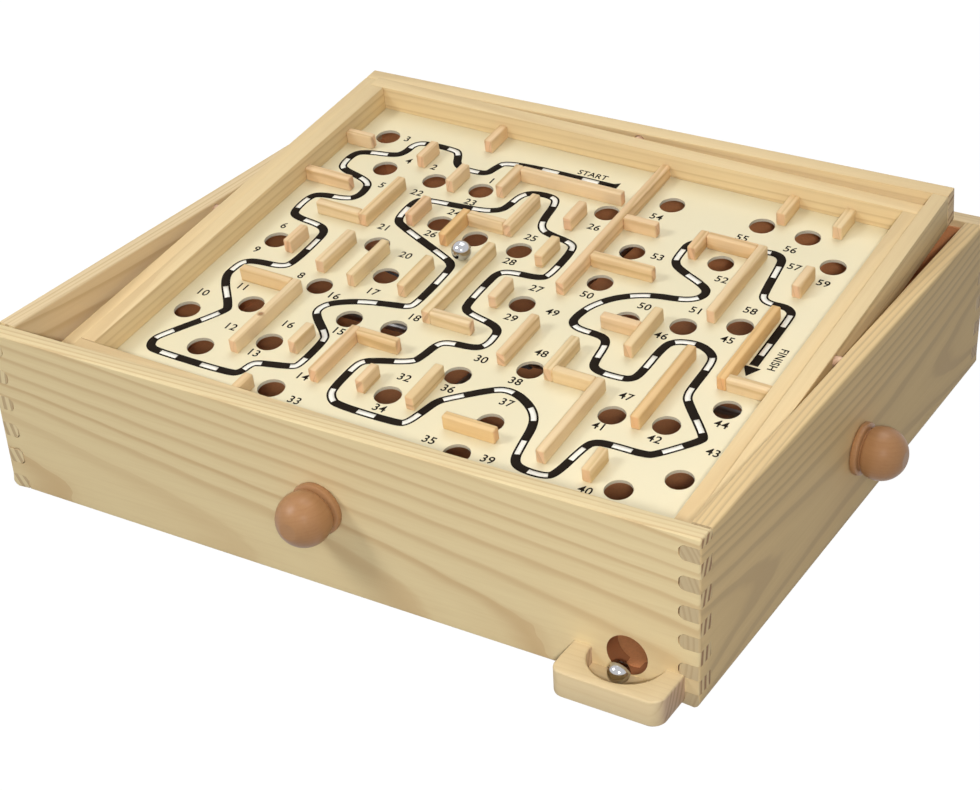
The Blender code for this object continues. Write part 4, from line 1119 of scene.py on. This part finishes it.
def cord_route(first, last, up, axis, middle):
    """The straight run from first, the turns round the shaft, and the point where the spring takes over."""
    along = last - first - axis * (last - first).dot(axis)
    along.z = 0
    along.normalize()
    winding = []
    steps = 36 * CORD_TURNS
    for step in range(steps + 1):
        share = step / steps
        angle = 2 * pi * CORD_TURNS * share
        winding.append(middle + axis * (share - 0.5) * CORD_SPREAD
                       + WINDING_RADIUS * (along * sin(angle) - Vector((0, 0, cos(angle)))))
    run = (last - winding[-1]).normalized()
    return [first + up * 2 * CORD_DROP, first, winding[0]], winding, last - run * SPRING_REACH, run


def add_spring(node, body, start, run, last, up):
    """Wound spring wire with a hook at the cord and a straight tail that is glued into the rail."""
    across = run.cross(Vector((0, 0, 1))).normalized()
    lift = across.cross(run)
    coils = []
    steps = 18 * SPRING_COILS
    for step in range(steps + 1):
        share = step / steps
        angle = 2 * pi * SPRING_COILS * share
        swell = SPRING_RADIUS * min(1.0, 8 * share + 0.15, 8 * (1 - share) + 0.15)
        centre = start + run * (SPRING_LEAD + share * (SPRING_LENGTH - SPRING_LEAD))
        coils.append(centre + swell * (across * cos(angle) + lift * sin(angle)))
    wire_line = [start, start + run * 0.8] + coils + [start + run * (SPRING_LENGTH + SPRING_LEAD), last,
                                                      last + up * 2 * CORD_DROP]
    spring = round_line(node + "_wound", wire_line, SPRING_WIRE)
    dress(spring, steel, body, "rod_steel", node)


def rail_ends(place, spots, bottom):
    """Where a cord meets the undersides of its two rails, and which way is up there."""
    ends = [in_millimetres(place) @ Vector((*end, bottom - CORD_DROP)) for end in spots.values()]
    return (*ends, (place.to_3x3() @ Vector((0, 0, 1))).normalized())


first, last, frame_up = rail_ends(frame_place, frame_cord_spots, FRAME_BOTTOM)
lead, winding, spring_start, run = cord_route(first, last, frame_up, Vector((1, 0, 0)),
                                              Vector((SIDE_CORD_X, BOX_MIDDLE_Y, SIDE_SHAFT_Z)))
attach(cord_piece("frame_cord_turns", "frame_cord", winding), "box")
front_run = cord_piece("frame_cord_front_run", "frame_cord", lead)
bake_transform(front_run)
back_run = cord_piece("frame_cord_back_run", "frame_cord", [winding[-1], spring_start])
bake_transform(back_run)
add_spring("frame_cord_spring", "outer_frame", spring_start, run, last, frame_up)

first, last, board_up = rail_ends(board_place, board_cord_spots, RIM_BOTTOM)
lead, winding, spring_start, run = cord_route(first, last, board_up, Vector((0, 1, 0)),
                                              Vector((0, BOX_MIDDLE_Y + FRONT_CORD_Y, FRONT_SHAFT_Z)))
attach(cord_piece("board_cord_turns", "board_cord", winding), "box")
for side, near, far, tail in (
    ("right", winding[0], first, [lead[0]]),
    ("left", winding[-1], spring_start, []),
):
    halfway = near.lerp(far, 0.5)
    inner_run = cord_piece("board_cord_" + side + "_run_inner", "board_cord", [near, halfway])
    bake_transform(inner_run)
    outer_run = cord_piece("board_cord_" + side + "_run_outer", "board_cord", [halfway, far] + tail)
    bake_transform(outer_run)
add_spring("board_cord_spring", "board", spring_start, run, last, board_up)

# Knobs. Turned beech, stained reddish brown and lacquered: a ball with a small flat in front, a groove and a
# collar disc behind, bored to push on the shaft.
KNOB_RADIUS = 12.0
KNOB_BALL_CENTRE = 10.2
KNOB_BORE_DEPTH = 14.0
KNOB_FLAT = radians(19)
KNOB_SWEEP = radians(97)
FRONT_KNOB_Y = -5.5
SIDE_KNOB_X = 176.4
BEECH = (0.410, 0.212, 0.093)
BEECH_DARK = (0.300, 0.130, 0.055)


def knob_profile():
    """Half section from the flat front over the ball, the groove and the collar to the bore."""
    rim, height = KNOB_RADIUS * sin(KNOB_FLAT), KNOB_BALL_CENTRE + KNOB_RADIUS * cos(KNOB_FLAT)
    points = [(0, height + 0.05), (0.9 * rim, height + 0.03)]
    steps = 32
    for step in range(steps + 1):
        angle = KNOB_FLAT + KNOB_SWEEP * step / steps
        points.append((KNOB_RADIUS * sin(angle), KNOB_BALL_CENTRE + KNOB_RADIUS * cos(angle)))
    points += [(10.2, 4.5), (9.6, 4.1), (9.2, 3.8), (9.4, 3.55), (10.6, 3.4), (11.3, 3.25), (11.8, 2.9),
               (12.0, 2.4), (12.0, 1.0), (11.85, 0.5), (11.5, 0.15), (11.1, 0)]
    return points + [(SHAFT_BORE, 0), (SHAFT_BORE, KNOB_BORE_DEPTH), (0, KNOB_BORE_DEPTH)]


def turned(name, profile, place):
    """A lathe profile of radius and height, spun round Z and set at its place."""
    mesh = bpy.data.meshes.new(name)
    sides = [(number, number + 1) for number in range(len(profile) - 1)]
    mesh.from_pydata([(radius * MM, 0, height * MM) for radius, height in profile], sides, [])
    piece = bpy.data.objects.new(name, mesh)
    bpy.context.scene.collection.objects.link(piece)
    pick_out(piece)
    bpy.ops.object.mode_set(mode="EDIT")
    bpy.ops.mesh.select_all(action="SELECT")
    bpy.ops.mesh.spin(steps=96, angle=2 * pi, center=(0, 0, 0), axis=(0, 0, 1))
    bpy.ops.object.mode_set(mode="OBJECT")
    turn_outwards(piece, 0.000005)
    put(piece, place)
    smooth_shade(piece)
    return piece


KNOB_RINGS = (20, 21.6, 23.1, 24.9, 26.3, 28, 29.6, 31.2, 33, 34.4, 36, 37.7, 39.2, 41, 42.6, 44.4, 46, 47.7,
              49.4, 51, 52.8, 54.5, 56.2)
front_knob_place = placed(Vector((0, FRONT_KNOB_Y, FRONT_SHAFT_Z)) * MM, pi / 2, "X")
side_knob_place = placed(Vector((SIDE_KNOB_X, BOX_MIDDLE_Y, SIDE_SHAFT_Z)) * MM, pi / 2, "Y")
for node, place, body, grain_turn in (
    ("front_knob", front_knob_place, "front_drive", pi / 2),
    ("side_knob", side_knob_place, "side_drive", 0.0),
):
    knob = turned(node + "_turned", knob_profile(), place)
    pith = placed(place.to_translation() + Vector((0.012, -0.012, -0.036)), grain_turn)
    beech = wood(node + "_beech", pith, KNOB_RINGS, pale=BEECH, ring=BEECH_DARK, end=BEECH,
                 end_ring=BEECH_DARK, wander=0.4, contrast=0.16, end_contrast=0.1, roughness=0.42,
                 lacquer=0.12)
    dress(knob, beech, body, "turned_beech", node)

# Steel balls. Ground and polished bearing balls, loose on the board and in the tray.
BALL_RADIUS = 4.75
BALL_CUTS = 23
chrome = clouded("polished_steel", (400, 400, 400), 2.0, (0.48, 0.48, 0.50), (0.54, 0.54, 0.56), 0.03,
                 spread=0.05, metallic=1.0)


def ball(node, body):
    """A cube divided evenly and cast to a sphere, so that no pole shows."""
    low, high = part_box(node)
    side = BALL_RADIUS / sqrt(3)
    piece = block(node + "_polished", (-side, -side, -side), (side, side, side))
    bpy.ops.object.mode_set(mode="EDIT")
    bpy.ops.mesh.select_all(action="SELECT")
    bpy.ops.mesh.subdivide(number_cuts=BALL_CUTS)
    bpy.ops.object.mode_set(mode="OBJECT")
    apply_modifier(piece, "CAST", cast_type="SPHERE", factor=1.0, radius=BALL_RADIUS * MM)
    put(piece, Matrix.Translation((Vector(low) + Vector(high)) / 2))
    smooth_shade(piece, 60)
    dress(piece, chrome, body, "ball_steel", node)


ball("board_ball", "loose_ball_on_board")
ball("tray_ball", "loose_ball_in_tray")
